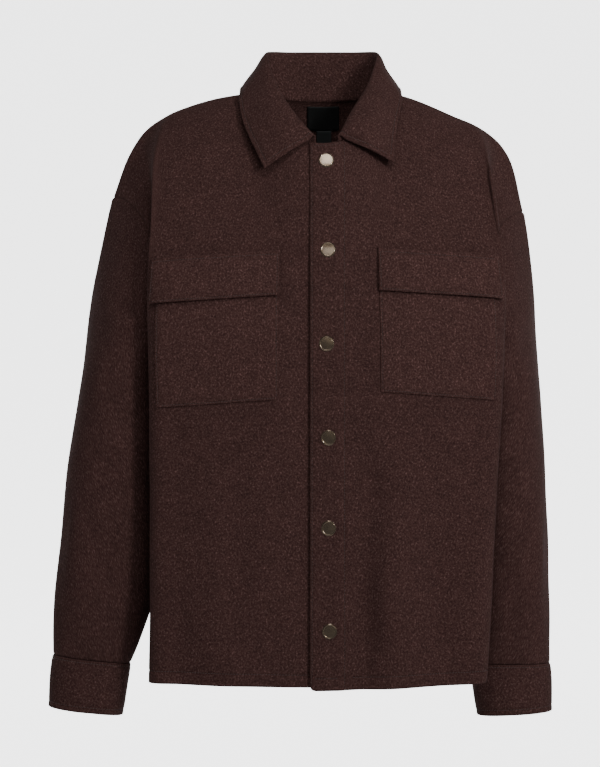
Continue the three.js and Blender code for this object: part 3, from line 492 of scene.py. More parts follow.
class Skin:
    """A panel's outer skin as a fine grid, for what lies on it; across and row name a place."""

    def __init__(self, across, rows, grid, turned):
        self.across, self.rows, self.grid, self.turned = across, rows, grid, turned
        self.normals = grid_normals(grid, turned=turned)

    def pick(self, array, across, row):
        """The values of an array over the grid at places between its lines."""
        j = np.interp(across, self.across, np.arange(len(self.across)))
        i = np.interp(row, self.rows, np.arange(len(self.rows)))
        j0 = np.clip(j.astype(int), 0, len(self.across) - 2)
        i0 = np.clip(i.astype(int), 0, len(self.rows) - 2)
        s, t = (j - j0)[..., None], (i - i0)[..., None]
        low = mix(array[i0, j0], array[i0, j0 + 1], s)
        return mix(low, mix(array[i0 + 1, j0], array[i0 + 1, j0 + 1], s), t)

    def lifted(self, across, row, distance):
        """Points off the skin along its normal."""
        across, row = np.broadcast_arrays(np.asarray(across, float), np.asarray(row, float))
        distance = np.broadcast_to(distance, across.shape)[..., None]
        normal = unit(self.pick(self.normals, across, row))
        return self.pick(self.grid, across, row) + normal * distance

    def row_at_height(self, across, z):
        """The row at which a column has a height, for one column and many heights."""
        line = self.pick(self.grid, np.full(len(self.rows), across, float), self.rows)
        return np.interp(z, line[:, 2], self.rows)

    def across_at(self, row, x, last):
        """The place across at which a row has a distance from the centre."""
        places = np.linspace(0, last, PROBES)
        line = self.pick(self.grid, places, np.full(PROBES, row, float))
        return float(np.interp(x, np.abs(line[:, 0]) * np.sign(places + 1), places))



# Fine grids of the body


def spaced(stops, step=GRID_STEP, units=1.0):
    """Places from stop to stop, evenly split; `units` is how many millimetres one of them is."""
    made = [stops[0]]
    for a, b in zip(stops, stops[1:]):
        count = max(1, round(abs(b - a) * units / step))
        made += [a + (b - a) * k / count for k in range(1, count + 1)]
    return np.array(made)


# Lines this far from a sewn or folded edge, so that its roll, its stitches and their groove show
EDGE_LINES = [0, 0.5, 1.1, 2.0, 3.2]
HEM_STITCH = 15  # the hem's stitch line, above the fold
HEM_LINES = [0, 0.5, 1.2, 2.4, 5, 8, 11, *(HEM_STITCH + off for off in (-1.6, -0.7, 0, 0.7, 1.6))]
YOKE_STITCH = 5  # the yoke's stitch line, above its seam
YOKE_LINES = [3.2, 4.2, YOKE_STITCH, 5.8, 6.8]

FRONT_WIDTHS = [26, 21, 34, 36, 34, 36, 33, 25, 15, 45, 55]  # of the named columns, roughly
BACK_WIDTHS = [45, 45, 45, 36, 30, 30, 45]
ROW_HEIGHT = {"below": 47.6, "above": 28}  # of a row below and above the underarm


def body_rows():
    low, high = ROW_HEIGHT["below"], ROW_HEIGHT["above"]
    hem = np.array(HEM_LINES) / low
    below = spaced([hem[-1], ROWS_BELOW], units=low)[1:]
    top = ROWS - np.array(EDGE_LINES[::-1]) / high
    above = spaced([ROWS_BELOW, top[0]], units=high)[1:]
    return np.concatenate([hem, below, above, top[1:]])


def body_columns(widths, first, fine_start):
    """Mesh lines across a panel, fine at its side seam, and at its first edge if that shows."""
    last = len(widths)
    start = first + (np.array(EDGE_LINES) / widths[first] if fine_start else np.zeros(1))
    end = last - np.array(EDGE_LINES[::-1]) / widths[-1]
    stops = [start[-1], *range(first + 1, last), end[0]]
    made = list(start)
    for a, b in zip(stops, stops[1:]):
        made += list(spaced([a, b], units=widths[min(int(a), last - 1)])[1:])
    return np.array(made + list(end[1:]))


def body_skin(maker, side, widths, fine_start, turned):
    across, rows = body_columns(widths, 0, fine_start), body_rows()
    return Skin(across, rows, maker(side, across, rows), turned)


# Creases: a line through points, how wide and how deep it is; a trough has a negative depth.
# On the body the points are (x, z); on a sleeve they are (degrees round from the outer side by
# way of the front, z).
CREASES = {
    "front_right": [
        ([(-66, -470), (-74, -560), (-68, -650)], 20, 1.6),
        ([(-96, -420), (-104, -540), (-98, -690)], 16, -1.8),
        ([(-150, -520), (-146, -600), (-152, -690)], 18, 1.5),
        ([(-190, -300), (-178, -420), (-184, -560)], 12, -1.6),
        ([(-60, -150), (-110, -176), (-168, -168)], 18, 1.2),
        ([(-176, -92), (-150, -128), (-140, -170)], 14, -1.4),
        ([(-28, -250), (-34, -360), (-30, -440)], 12, -1.2),
        ([(-17, -66), (-17, -300), (-17, -500), (-17, -720)], 3, -2.0),
    ],
    "front_left": [
        ([(52, -400), (58, -500), (52, -600), (56, -704)], 15, -6.0),
        ([(86, -430), (96, -540), (92, -690)], 22, 2.2),
        ([(140, -470), (134, -560), (140, -690)], 16, -1.6),
        ([(178, -520), (172, -610), (176, -700)], 15, 1.3),
        ([(60, -140), (104, -172), (160, -164)], 18, 1.0),
        ([(168, -96), (150, -130), (142, -172)], 14, -1.4),
        ([(38, -240), (44, -330), (40, -400)], 10, -1.2),
    ],
    "back": [
        ([(-128, -60), (-112, -160), (-104, -300)], 20, -2.2),
        ([(122, -60), (104, -170), (100, -310)], 20, -2.2),
        ([(-40, -420), (-56, -540), (-52, -700)], 22, -2.4),
        ([(10, -360), (4, -500), (8, -690)], 20, 1.8),
        ([(58, -440), (64, -560), (58, -700)], 18, -2.2),
        ([(-140, -440), (-150, -560), (-142, -690)], 20, 2.0),
        ([(136, -480), (146, -580), (140, -690)], 18, 1.8),
        ([(-120, -352), (-60, -372), (0, -366)], 12, -1.4),
        ([(30, -392), (84, -402), (130, -384)], 12, -1.3),
    ],
    "sleeve_right": [
        ([(35, -176), (62, -200), (96, -212)], 9, -1.8),
        ([(10, -232), (44, -262), (84, -300)], 11, 1.6),
        ([(96, -262), (78, -330), (82, -400)], 11, -1.8),
        ([(140, -372), (104, -392), (66, -404)], 9, -2.0),
        ([(146, -412), (108, -430), (60, -428)], 10, 1.8),
        ([(118, -470), (92, -486), (64, -482)], 9, -1.6),
        ([(60, -452), (54, -540), (64, -640)], 14, 1.5),
        ([(30, -480), (26, -560), (34, -660)], 12, -1.4),
        ([(96, -540), (88, -600), (98, -668)], 11, -1.8),
        ([(230, -400), (262, -420), (300, -414)], 12, -2.2),
        ([(224, -452), (262, -470), (306, -458)], 12, -2.0),
        ([(250, -560), (262, -620), (254, -676)], 12, 1.8),
        ([(300, -540), (306, -610), (298, -672)], 12, -1.8),
        ([(190, -400), (176, -470), (186, -560)], 12, -2.2),
    ],
    "sleeve_left": [
        ([(30, -196), (62, -216), (98, -222)], 9, -1.7),
        ([(12, -250), (42, -280), (78, -306)], 11, 1.4),
        ([(92, -270), (76, -340), (80, -410)], 11, -1.7),
        ([(136, -380), (98, -404), (58, -410)], 9, -1.9),
        ([(142, -420), (104, -438), (58, -440)], 10, 1.6),
        ([(112, -486), (86, -500), (56, -494)], 9, -1.5),
        ([(56, -470), (50, -560), (58, -650)], 14, 1.4),
        ([(26, -500), (22, -580), (30, -670)], 12, -1.3),
        ([(94, -560), (86, -620), (94, -676)], 11, -1.7),
        ([(232, -404), (264, -424), (302, -416)], 12, -2.2),
        ([(226, -456), (264, -474), (308, -462)], 12, -2.0),
        ([(252, -566), (264, -626), (256, -680)], 12, 1.8),
        ([(302, -546), (308, -616), (300, -676)], 12, -1.8),
        ([(190, -410), (176, -480), (186, -570)], 12, -2.0),
    ],
}


# A crease fades out over its ends, from a rest that is left there, and its depth swings a little
CREASE = {"points": 28, "fade": 3.2, "rest": 0.12, "swing": 0.2, "swings": 9}
CREASE_ROLL = {"height": 0.35, "away": 1.9}  # the low roll along both its sides


def crease_height(strokes, u, v):
    """How far the listed creases lift the cloth at places (u, v) in millimetres."""
    height = np.zeros_like(u)
    for points, width, depth in strokes:
        places = np.linspace(0, len(points) - 1, CREASE["points"])
        line = along([(a, b, 0) for a, b in points], places)[:, :2]
        away = np.full(u.shape, 1e9)
        share = np.zeros(u.shape)
        for k, (a, b) in enumerate(zip(line, line[1:])):
            step = b - a
            t = np.clip(((u - a[0]) * step[0] + (v - a[1]) * step[1]) / (step @ step), 0, 1)
            d = np.hypot(u - a[0] - t * step[0], v - a[1] - t * step[1])
            nearer = d < away
            away = np.where(nearer, d, away)
            share = np.where(nearer, (k + t) / (len(line) - 1), share)
        fade = smooth(np.minimum(share, 1 - share) * CREASE["fade"] + CREASE["rest"])
        swing = CREASE["swing"] * np.sin(share * CREASE["swings"] + depth)
        off_roll = (away - CREASE_ROLL["away"] * width) / width
        roll = CREASE_ROLL["height"] * np.exp(-(off_roll**2))
        fade = fade * (1 - CREASE["swing"] + swing)
        height += depth * fade * (np.exp(-((away / width) ** 2)) - roll)
    return height


# The gentle unevenness that real cloth has, on each piece: smooth waves in seeded directions, how
# far apart they lie and how high they are
WAVES = {
    "front_right": {"seed": 3, "reach": 130, "height": 0.7},
    "front_left": {"seed": 5, "reach": 130, "height": 0.7},
    "back": {"seed": 7, "reach": 130, "height": 0.7},
    "sleeve_right": {"seed": 11, "reach": 90, "height": 0.7},
    "sleeve_left": {"seed": 13, "reach": 90, "height": 0.7},
    "cuff": {"seed": 21, "reach": 60, "height": 0.45},
    "collar": {"seed": 31, "reach": 70, "height": 0.5},
}
WAVE_COUNT = 9
WAVE_REACHES = (0.6, 1.8)  # times the reach of the piece
WAVE_RISE = 0.6  # waves are this much closer across than up the cloth


def slow_waves(piece, u, v):
    """How far its unevenness lifts a piece at places (u, v) in millimetres."""
    wave = WAVES[piece]
    random = np.random.default_rng(wave["seed"])
    total = np.zeros_like(u)
    for _ in range(WAVE_COUNT):
        turn, phase = random.uniform(0, 2 * np.pi, 2)
        pace = 2 * np.pi / (wave["reach"] * random.uniform(*WAVE_REACHES))
        total += np.sin((u * np.cos(turn) + WAVE_RISE * v * np.sin(turn)) * pace + phase)
    return total * wave["height"] / math.sqrt(WAVE_COUNT)


# Cloth pieces: an outer skin, an inner skin one thickness in, and rolled edges


def run_lengths(grid, axis):
    steps = np.linalg.norm(np.diff(grid, axis=axis), axis=2)
    lengths = np.cumsum(steps, axis=axis)
    zero = np.zeros_like(np.take(lengths, [0], axis=axis))
    return np.concatenate([zero, lengths], axis=axis)


def edge_distances(grid):
    up, across = run_lengths(grid, 0), run_lengths(grid, 1)
    return {"bottom": up, "top": up[-1:] - up, "start": across, "end": across[:, -1:] - across}


def new_mesh(name, points, faces, uv=None, around=None):
    """A smooth mesh object from points in millimetres; around is the length round a closed piece,
    in metres, at each point, so that the grain doesn't run backwards over its last column."""
    mesh = bpy.data.meshes.new(name)
    mesh.from_pydata((np.asarray(points) * MM).tolist(), [], faces)
    if uv is not None:
        layer = mesh.uv_layers.new(name="cloth")
        loops = np.empty(len(mesh.loops), dtype=np.int32)
        mesh.loops.foreach_get("vertex_index", loops)
        places = np.asarray(uv)[loops]
        if around is not None:
            quads = places[:, 0].reshape(-1, 4)
            behind = quads < quads.max(1, keepdims=True) - np.max(around) / 2
            places[:, 0] += (behind * around[loops].reshape(-1, 4)).ravel()
        layer.data.foreach_set("uv", places.astype(np.float32).ravel())
    mesh.polygons.foreach_set("use_smooth", np.ones(len(mesh.polygons), dtype=bool))
    mesh.update()
    made = bpy.data.objects.new(name, mesh)
    bpy.context.scene.collection.objects.link(made)
    return made


def shell_faces(rows, columns, closed, turned):
    """Quads of the outer skin, the inner skin and the rims between them."""

    def quads(a, b, c, d, flip):
        stack = np.stack([a, b, c, d] if not flip else [a, d, c, b], -1)
        return stack.reshape(-1, 4)

    ids = np.arange(rows * columns).reshape(rows, columns)
    if closed:
        ids = np.concatenate([ids, ids[:, :1]], 1)
    inner = ids + rows * columns
    corners = lambda g: (g[:-1, :-1], g[:-1, 1:], g[1:, 1:], g[1:, :-1])
    made = [quads(*corners(ids), turned), quads(*corners(inner), not turned)]
    rims = [(ids[0], inner[0], True), (ids[-1], inner[-1], False)]
    if not closed:
        rims += [(ids[:, 0], inner[:, 0], False), (ids[:, -1], inner[:, -1], True)]
    for a, b, flip in rims:
        made.append(quads(a[:-1], a[1:], b[1:], b[:-1], flip != turned))
    return np.concatenate(made).tolist()


SEWN_DEPTH = 1.4  # how far a sewn edge sinks into its seam
FLAT_DEPTH = 0.3  # and one whose seam is pressed and stitched flat
SEWN_REACH = 4.0
GROOVE = {"depth": 0.65, "width": 1.2}  # where a row of stitches pulls the cloth in
HEM_FADE = 1.2  # over which the second layer of a hem ends
ROUNDED = 0.96  # of a full half-round, at a free edge
LEAST_CLOTH = 0.6  # that stays between the skins where a seam sinks
INNER_GRAIN = 0.31  # how far off the grain of the inner skin is taken, in metres
CUTS = []  # each sheet's name, width, length and area, printed at the end


def closing_gap(grid):
    """From the last column of a closed piece to its first, on each row."""
    return np.linalg.norm(grid[:, 0] - grid[:, -1], axis=-1)


def cell_areas(grid, closed):
    if closed:
        grid = np.concatenate([grid, grid[:, :1]], 1)
    a, b = grid[1:, 1:] - grid[:-1, :-1], grid[1:, :-1] - grid[:-1, 1:]
    return np.linalg.norm(np.cross(a, b), axis=-1) / 2


def cloth_piece(
    name, node, grid, thickness, closed=False, turned=False, sewn=(), flat=(), free=(),
    stitches=(), double=None, slot="wool", finish=None,
):  # fmt: skip
    """A thin shell on an outer skin, with its rows of stitches, declared as the sheet it is.

    sewn edges sink into their seam and flat ones hardly do; free ones are rounded. stitches are
    (edge, distance from it, shortest distance from the other edges). double is a hem: (edge, its
    depth, its thickness). finish is a material other than the slot's own."""
    distances = edge_distances(grid)
    normals = grid_normals(grid, closed, turned)
    drop = np.zeros(grid.shape[:2])
    for edges, sunk in ((sewn, SEWN_DEPTH), (flat, FLAT_DEPTH)):
        for edge in edges:
            drop += sunk * np.clip(1 - distances[edge] / SEWN_REACH, 0, 1) ** 2
    for edge, place, _ in stitches:
        drop += GROOVE["depth"] * np.exp(-(((distances[edge] - place) / GROOVE["width"]) ** 2))
    depth = np.full(grid.shape[:2], float(thickness))
    if double:
        edge, reach, folded = double
        depth += (folded - thickness) * (1 - smooth((distances[edge] - reach) / HEM_FADE))
    rounding = np.zeros_like(drop)
    for edge in free:
        radius = depth / 2
        left = np.clip(1 - distances[edge] / radius, 0, 1)
        rounding = np.maximum(rounding, radius * (1 - np.sqrt(1 - left**2)) * ROUNDED)
    outer = grid - normals * (drop + rounding)[..., None]
    inner = grid - normals * (np.maximum(depth, drop + LEAST_CLOTH) - rounding)[..., None]
    rows, columns = drop.shape
    u, v = run_lengths(grid, 1), run_lengths(grid, 0)
    straight, around = u, None
    if closed:
        # it is measured from the middle of its front, so that the grain lies straight there
        straight = u - u[:, [columns // 4]]
        around = np.tile(np.repeat((u[:, -1] + closing_gap(grid)) * MM, columns), 2)
    uv = np.stack([straight, v], -1).reshape(-1, 2) * MM
    points = np.concatenate([outer.reshape(-1, 3), inner.reshape(-1, 3)])
    skins = np.concatenate([uv, uv + INNER_GRAIN])
    made = new_mesh(name, points, shell_faces(rows, columns, closed, turned), skins, around)
    made.data.materials.append(MATERIALS[finish or slot])
    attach(made, "root")
    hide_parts(node)
    surface = cell_areas(grid, closed).sum()
    width = float(u[:, -1].max() + (closing_gap(grid).max() if closed else 0))
    length = float(v[-1].max())
    threads = [stitch_path(grid, normals, distances, stitch, closed) for stitch in stitches]
    threads = [(path, out) for path, out in threads if len(path) > 1]
    riders = [stitch_mesh(f"{name}_stitches", threads)] if threads else []
    CUTS.append((name, width, length, surface * MM * MM))


# Stitches


STITCH = {"pitch": 3.4, "length": 2.5, "radius": 0.3, "sides": 6, "proud": 0.6}
STITCH_RINGS = table(
    "along thick lift",
    (-0.5, 0.35, -0.5),
    (-0.36, 1, 0.1),
    (0, 1.1, 0.3),
    (0.36, 1, 0.1),
    (0.5, 0.35, -0.5),
)


def stitch_path(grid, normals, distances, stitch, closed):
    """Points and normals of a line at a distance from an edge, along the cloth."""
    edge, place, clear = stitch
    way, lines, ups = distances[edge], grid, normals
    ends = [distances["bottom"], distances["top"]]
    if edge in ("bottom", "top"):
        way, lines, ups = way.T, lines.transpose(1, 0, 2), ups.transpose(1, 0, 2)
        ends = [distances["start"].T, distances["end"].T]
    if edge in ("top", "end"):
        way, lines, ups = way[:, ::-1], lines[:, ::-1], ups[:, ::-1]
        ends = [e[:, ::-1] for e in ends]
    points, out = [], []
    for k in range(len(lines)):
        if way[k, -1] < place:
            continue
        i = np.interp(place, way[k], np.arange(way.shape[1]))
        i0 = min(int(i), way.shape[1] - 2)
        t = i - i0
        if not closed and min(mix(e[k, i0], e[k, i0 + 1], t) for e in ends) < clear:
            continue
        points.append(mix(lines[k, i0], lines[k, i0 + 1], t))
        out.append(mix(ups[k, i0], ups[k, i0 + 1], t))
    return np.array(points), np.array(out)


def ringed_faces(start, rings, sides, inward=False):
    """Quads from ring to ring of points, with a flat face at both ends; inward turns them over."""
    faces = []
    for r in range(rings - 1):
        for s in range(sides):
            a, b = start + r * sides + s, start + r * sides + (s + 1) % sides
            faces.append((b, a, a + sides, b + sides) if inward else (a, b, b + sides, a + sides))
    first = range(start, start + sides)
    last = range(start + (rings - 1) * sides, start + rings * sides)
    faces.append(tuple(first if inward else reversed(first)))
    faces.append(tuple(reversed(last) if inward else last))
    return faces


def stitch_mesh(name, paths):
    """Short threads that dip into the cloth at both ends, one after another along each path."""
    turns = np.arange(STITCH["sides"]) * 2 * np.pi / STITCH["sides"]
    points, faces = [], []
    for path, out in paths:
        steps = np.linalg.norm(np.diff(path, axis=0), axis=1)
        lengths = np.concatenate([[0], np.cumsum(steps)])
        places = np.arange(STITCH["pitch"], lengths[-1] - STITCH["pitch"], STITCH["pitch"])

        def at(spots, array):
            return np.stack([np.interp(spots, lengths, array[:, k]) for k in range(3)], -1)

        centre, normal = at(places, path), unit(at(places, out))
        forward = unit(at(places + 1, path) - at(places - 1, path))
        beside = np.cross(forward, normal)
        block = []
        for ring in STITCH_RINGS:
            lift = (ring["lift"] * 2 + STITCH["proud"]) * STITCH["radius"] - GROOVE["depth"]
            middle = centre + forward * ring["along"] * STITCH["length"] + normal * lift
            for turn in turns:
                spoke = beside * np.cos(turn) + normal * np.sin(turn)
                block.append(middle + spoke * STITCH["radius"] * ring["thick"])
        base, count = sum(map(len, points)), len(block)
        points.append(np.stack(block, 1).reshape(-1, 3))
        for k in range(len(places)):
            faces += ringed_faces(base + k * count, len(STITCH_RINGS), STITCH["sides"])
    made = new_mesh(name, np.concatenate(points), faces)
    made.data.materials.append(MATERIALS["thread"])
    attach(made, "root")
    return made


# Colours and materials


def srgb(hex_colour):
    """A hex colour as the linear values that shaders take."""
    parts = [int(hex_colour[i : i + 2], 16) / 255 for i in (0, 2, 4)]
    return [c / 12.92 if c <= 0.04045 else ((c + 0.055) / 1.055) ** 2.4 for c in parts] + [1.0]


def grey(level):
    return (level, level, level, 1)


def set_inputs(tree, node, inputs):
    """Gives a node's inputs, by name or number, a socket to link or a value."""
    for name, value in inputs.items():
        if isinstance(value, bpy.types.NodeSocket):
            tree.links.new(value, node.inputs[name])
        else:
            node.inputs[name].default_value = value


def add_node(tree, kind, settings=None, inputs=None):
    """A node with its settings, a colour ramp's stops among them, and its inputs."""
    node = tree.nodes.new(kind)
    for name, value in (settings or {}).items():
        if name != "stops":
            setattr(node, name, value)
            continue
        marks = node.color_ramp.elements
        while len(marks) < len(value):
            marks.new(0.5)
        for mark, (place, colour) in zip(marks, value):
            mark.position, mark.color = place, colour
    set_inputs(tree, node, inputs or {})
    return node


def new_material(name):
    material = bpy.data.materials.new(name)
    material.use_nodes = True
    tree = material.node_tree
    tree.nodes.clear()
    shader = add_node(tree, "ShaderNodeBsdfPrincipled")
    add_node(tree, "ShaderNodeOutputMaterial", inputs={"Surface": shader.outputs["BSDF"]})
    return tree, shader, material


def brushed_heather_wool(name, painted_light_factor):
    """Wool-blend coating cloth, woven from marled yarn, then milled and brushed: a felted, matt
    red-brown, peppered all over with single lighter and darker fibres. A factor above 1 makes a
    lighter copy of it, painted light for the pockets and flaps, which tilt up towards the lamps."""
    tree, shader, material = new_material(name)
    place = add_node(tree, "ShaderNodeUVMap", {"uv_map": "cloth"}).outputs["UV"]

    def speckle(per_metre, turn, stretch, detail, stops):
        """Grains of the colours of these stops, so many to a metre, drawn out along the yarn."""
        turned = add_node(
            tree,
            "ShaderNodeMapping",
            inputs={"Vector": place, "Rotation": (0, 0, turn), "Scale": (1, stretch, 1)},
        ).outputs["Vector"]
        grains = add_node(
            tree,
            "ShaderNodeTexNoise",
            inputs={"Vector": turned, "Scale": per_metre, "Detail": detail, "Roughness": 0.7},
        ).outputs["Fac"]
        return add_node(tree, "ShaderNodeValToRGB", {"stops": stops}, {"Fac": grains}).outputs[0]

    # The yarn's mixed fibres, about 2 mm apart; real ones are finer, but would not show
    shades = [(0.3, "2a1a18"), (0.45, "352220"), (0.55, "3c2825"), (0.7, "4c3532")]
    yarn = speckle(450.0, 0.4, 0.9, 2.0, [(stop, srgb(colour)) for stop, colour in shades])
    # Single pale fibres and dark knots, drawn just over 1 mm across for the same reason
    pale = speckle(430.0, -0.7, 0.75, 1.0, [(0.57, grey(0)), (0.82, grey(0.6))])
    dark = speckle(400.0, 1.2, 0.85, 1.0, [(0.28, grey(0.7)), (0.46, grey(1))])
    # Clouds 10 mm and 35 mm across, where the milling packed the fibres unevenly
    # On the lighter copy the factor raises the whole colour here: painted light, not a change in the
    # cloth
    small = speckle(100.0, 0.2, 1.0, 1.0, [(0.3, grey(0.9 * painted_light_factor)), (0.7, grey(1.1 * painted_light_factor))])
    large = speckle(28.0, 0.9, 1.0, 2.0, [(0.3, grey(0.92)), (0.7, grey(1.08))])
    # On a Mix node, inputs 6 and 7 are the two colours, and output 2 is the mixed one
    colour = add_node(
        tree, "ShaderNodeMix", {"data_type": "RGBA"}, {"Factor": pale, 6: yarn, 7: srgb("735652")}
    ).outputs[2]
    for layer in (dark, small, large):
        colour = add_node(
            tree,
            "ShaderNodeMix",
            {"data_type": "RGBA", "blend_type": "MULTIPLY"},
            {"Factor": 1.0, 6: colour, 7: layer},
        ).outputs[2]
    # The brushed nap, in tufts 1.5 mm across, over the milled cloth's lumps of 7 mm
    tufts, lumps = (
        add_node(
            tree,
            "ShaderNodeTexNoise",
            inputs={"Vector": place, "Scale": per_metre, "Detail": 2.0, "Roughness": 0.5},
        ).outputs["Fac"]
        for per_metre in (650.0, 150.0)
    )
    nap = add_node(
        tree, "ShaderNodeBump", inputs={"Height": tufts, "Strength": 0.3, "Distance": 0.0006}
    ).outputs["Normal"]
    relief = add_node(
        tree,
        "ShaderNodeBump",
        inputs={"Height": lumps, "Strength": 0.35, "Distance": 0.001, "Normal": nap},
    ).outputs["Normal"]
    finish = {"Base Color": colour, "Normal": relief, "Roughness": 0.95, "Specular IOR Level": 0.1}
    fuzz = {"Sheen Weight": 0.02, "Sheen Roughness": 0.5, "Sheen Tint": srgb("b08a7a")}
    set_inputs(tree, shader, {**finish, **fuzz})
    return material


def spun_polyester_thread():
    """Corespun sewing thread, dyed to the cloth: a little darker and smoother than the wool."""
    tree, shader, material = new_material("spun_polyester_thread")
    place = add_node(tree, "ShaderNodeTexCoord").outputs["Object"]
    # Fibres in clumps of 1.5 mm
    clumps = add_node(
        tree, "ShaderNodeTexNoise", inputs={"Vector": place, "Scale": 700.0, "Detail": 1.0}
    ).outputs["Fac"]
    stops = [(0.35, srgb("2a1e1b")), (0.65, srgb("3d2d28"))]
    colour = add_node(tree, "ShaderNodeValToRGB", {"stops": stops}, {"Fac": clumps}).outputs[0]
    set_inputs(tree, shader, {"Base Color": colour, "Roughness": 0.7})
    return material


def antique_brass():
    """Stamped brass snap cap, chemically darkened, polished and lacquered: a dark grey-brown metal
    that mirrors softly, with a clear gloss on top that turns white where a lamp stands in it."""
    tree, shader, material = new_material("antique_brass")
    place = add_node(tree, "ShaderNodeTexCoord").outputs["Object"]
    # Patches 7 mm across that the darkening left unequal
    worn = add_node(
        tree,
        "ShaderNodeTexNoise",
        inputs={"Vector": place, "Scale": 140.0, "Detail": 2.0, "Roughness": 0.5},
    ).outputs["Fac"]
    looks = {
        "Base Color": [(0.35, srgb("5e4e3c")), (0.65, srgb("685844"))],
        "Roughness": [(0.3, grey(0.2)), (0.7, grey(0.26))],
    }
    for socket, stops in looks.items():
        shown = add_node(tree, "ShaderNodeValToRGB", {"stops": stops}, {"Fac": worn}).outputs[0]
        tree.links.new(shown, shader.inputs[socket])
    set_inputs(tree, shader, {"Metallic": 1.0, "Coat Weight": 1.0, "Coat Roughness": 0.12})
    return material


def woven_label(name, dark, light):
    """Damask-woven polyester label: fine, faintly shiny ribs of filament yarn, drawn 1 mm apart
    because real ones, two or three to a millimetre, would not show."""
    tree, shader, material = new_material(name)
    place = add_node(tree, "ShaderNodeUVMap", {"uv_map": "cloth"}).outputs["UV"]
    ribs = add_node(
        tree,
        "ShaderNodeTexWave",
        {"wave_type": "BANDS", "bands_direction": "Y"},
        {"Vector": place, "Scale": 320.0, "Distortion": 0.6, "Detail": 1.0},
    ).outputs["Fac"]
    stops = [(0.2, srgb(dark)), (0.9, srgb(light))]
    colour = add_node(tree, "ShaderNodeValToRGB", {"stops": stops}, {"Fac": ribs}).outputs[0]
    relief = add_node(
        tree, "ShaderNodeBump", inputs={"Height": ribs, "Strength": 0.3, "Distance": 0.0002}
    ).outputs["Normal"]
    looks = {"Base Color": colour, "Normal": relief, "Roughness": 0.7, "Specular IOR Level": 0.25}
    set_inputs(tree, shader, looks)
    return material


MATERIALS = {
    "wool": brushed_heather_wool("brushed_heather_wool", 1.0),
    # A lighter copy of the wool, painted light for the pockets and flaps, which tilt up towards the
    # lamps
    "wool_painted_light": brushed_heather_wool("brushed_heather_wool_painted_light", 1.12),
    "thread": spun_polyester_thread(),
    "snap_metal": antique_brass(),
    "neck_label_cloth": woven_label("woven_polyester_black", "020303", "090b0a"),
    "size_label_cloth": woven_label("woven_polyester_charcoal", "1d1e1e", "2c2e2d"),
}


# The body: two fronts and the back


CALM = {"body": 26, "sleeve": 24}  # creases and waves fade out this near to a seam
BAND_LAP = 1.6  # of the left front under the band
HEM_ROW = ("bottom", HEM_STITCH, 6)  # the hem's stitches
TURNED_HEM = ("bottom", HEM_STITCH, HEM_FOLD)


def textured(skin, name):
    """A body skin with its creases and unevenness in it, fading out at the seams."""
    x, z = skin.grid[..., 0], skin.grid[..., 2]
    height = crease_height(CREASES[name], x, z) + slow_waves(name, x, z)
    distances = edge_distances(skin.grid)
    calm = smooth(np.minimum(distances["end"], distances["top"]) / CALM["body"])
    if name == "back":
        calm = calm * smooth(distances["start"] / CALM["body"])
    grid = skin.grid + skin.normals * (height * calm)[..., None]
    return Skin(skin.across, skin.rows, grid, skin.turned)


plain_fronts = {
    name: body_skin(front_skin, SIDES[name], FRONT_WIDTHS, True, name == "right") for name in SIDES
}
fronts = {name: textured(plain_fronts[name], f"front_{name}") for name in SIDES}
back_halves = {
    name: body_skin(back_skin, SIDES[name], BACK_WIDTHS, False, name == "left") for name in SIDES
}
half_left, half_right = back_halves["left"], back_halves["right"]
back_grid = np.concatenate([half_left.grid[:, ::-1], half_right.grid[:, 1:]], 1)
back_across = np.concatenate([-half_left.across[::-1], half_right.across[1:]])
back = textured(Skin(back_across, body_rows(), back_grid, False), "back")


def cut_back(part):
    """The lower back or the yoke: the back's skin up to the yoke seam or from it, with fine lines
    beside that seam."""
    rows, lines = back.rows, np.array(EDGE_LINES) / ROW_HEIGHT["above"]
    if part == "lower":
        fine = YOKE_ROW - YOKE_GAP - lines[::-1]
        rows = np.concatenate([rows[rows < YOKE_ROW - lines[-1]], fine])
    else:
        fine = YOKE_ROW + np.append(lines[:-1], np.array(YOKE_LINES) / ROW_HEIGHT["above"])
        rows = np.concatenate([fine, rows[rows > fine[-1]]])
    return back.pick(back.grid, *np.meshgrid(back.across, rows))


def left_front():
    """The left front begins a little way under the band that is sewn to it."""
    columns = body_columns(FRONT_WIDTHS, 2, True)
    columns[: len(EDGE_LINES)] -= BAND_LAP / FRONT_WIDTHS[1]
    skin = fronts["left"]
    return skin.pick(skin.grid, *np.meshgrid(columns, skin.rows))


cloth_piece(
    "front_right_cloth", "front_right", fronts["right"].grid, CLOTH, turned=True,
    sewn=("top", "end"), free=("bottom", "start"), stitches=[HEM_ROW], double=TURNED_HEM,
)  # fmt: skip
cloth_piece(
    "front_left_cloth", "front_left", left_front(), CLOTH,
    sewn=("top", "end"), flat=("start",), free=("bottom",), stitches=[HEM_ROW], double=TURNED_HEM,
)  # fmt: skip
cloth_piece(
    "back_cloth", "back", cut_back("lower"), CLOTH,
    sewn=("top", "start", "end"), free=("bottom",), stitches=[HEM_ROW], double=TURNED_HEM,
)  # fmt: skip
cloth_piece(
    "back_yoke_cloth", "back_yoke", cut_back("yoke"), CLOTH,
    sewn=("top", "start", "end"), flat=("bottom",), stitches=[("bottom", YOKE_STITCH, 6)],
)  # fmt: skip


# Sleeves and cuffs


SLEEVE_TURNS = 112
SLEEVE_RINGS = {"upper": 5, "lower": 9}  # steps of the net above and below the sleeve's table
RING_STEP = {"first": 34, "usual": 36, "last": 38}  # from ring to ring of the net, roughly
SQUARENESS = 0.9  # of a sleeve's section; 1 is an ellipse
DEGREE = {"sleeve": 1.05, "cuff": 0.9}  # millimetres of cloth to a degree round it
CUFF = {"height": 64, "step": 0.8, "crown": 0.8, "seam_stitch": 3.2, "hem_stitch": 7}
CUFF_PLAIN = 50  # up to here its mesh lines are even
CUFF_LINES = [52, 54, 55.5, 57, 58.4, 60, 61.6, 62.7, 63.5, CUFF["height"]]  # at its free edge


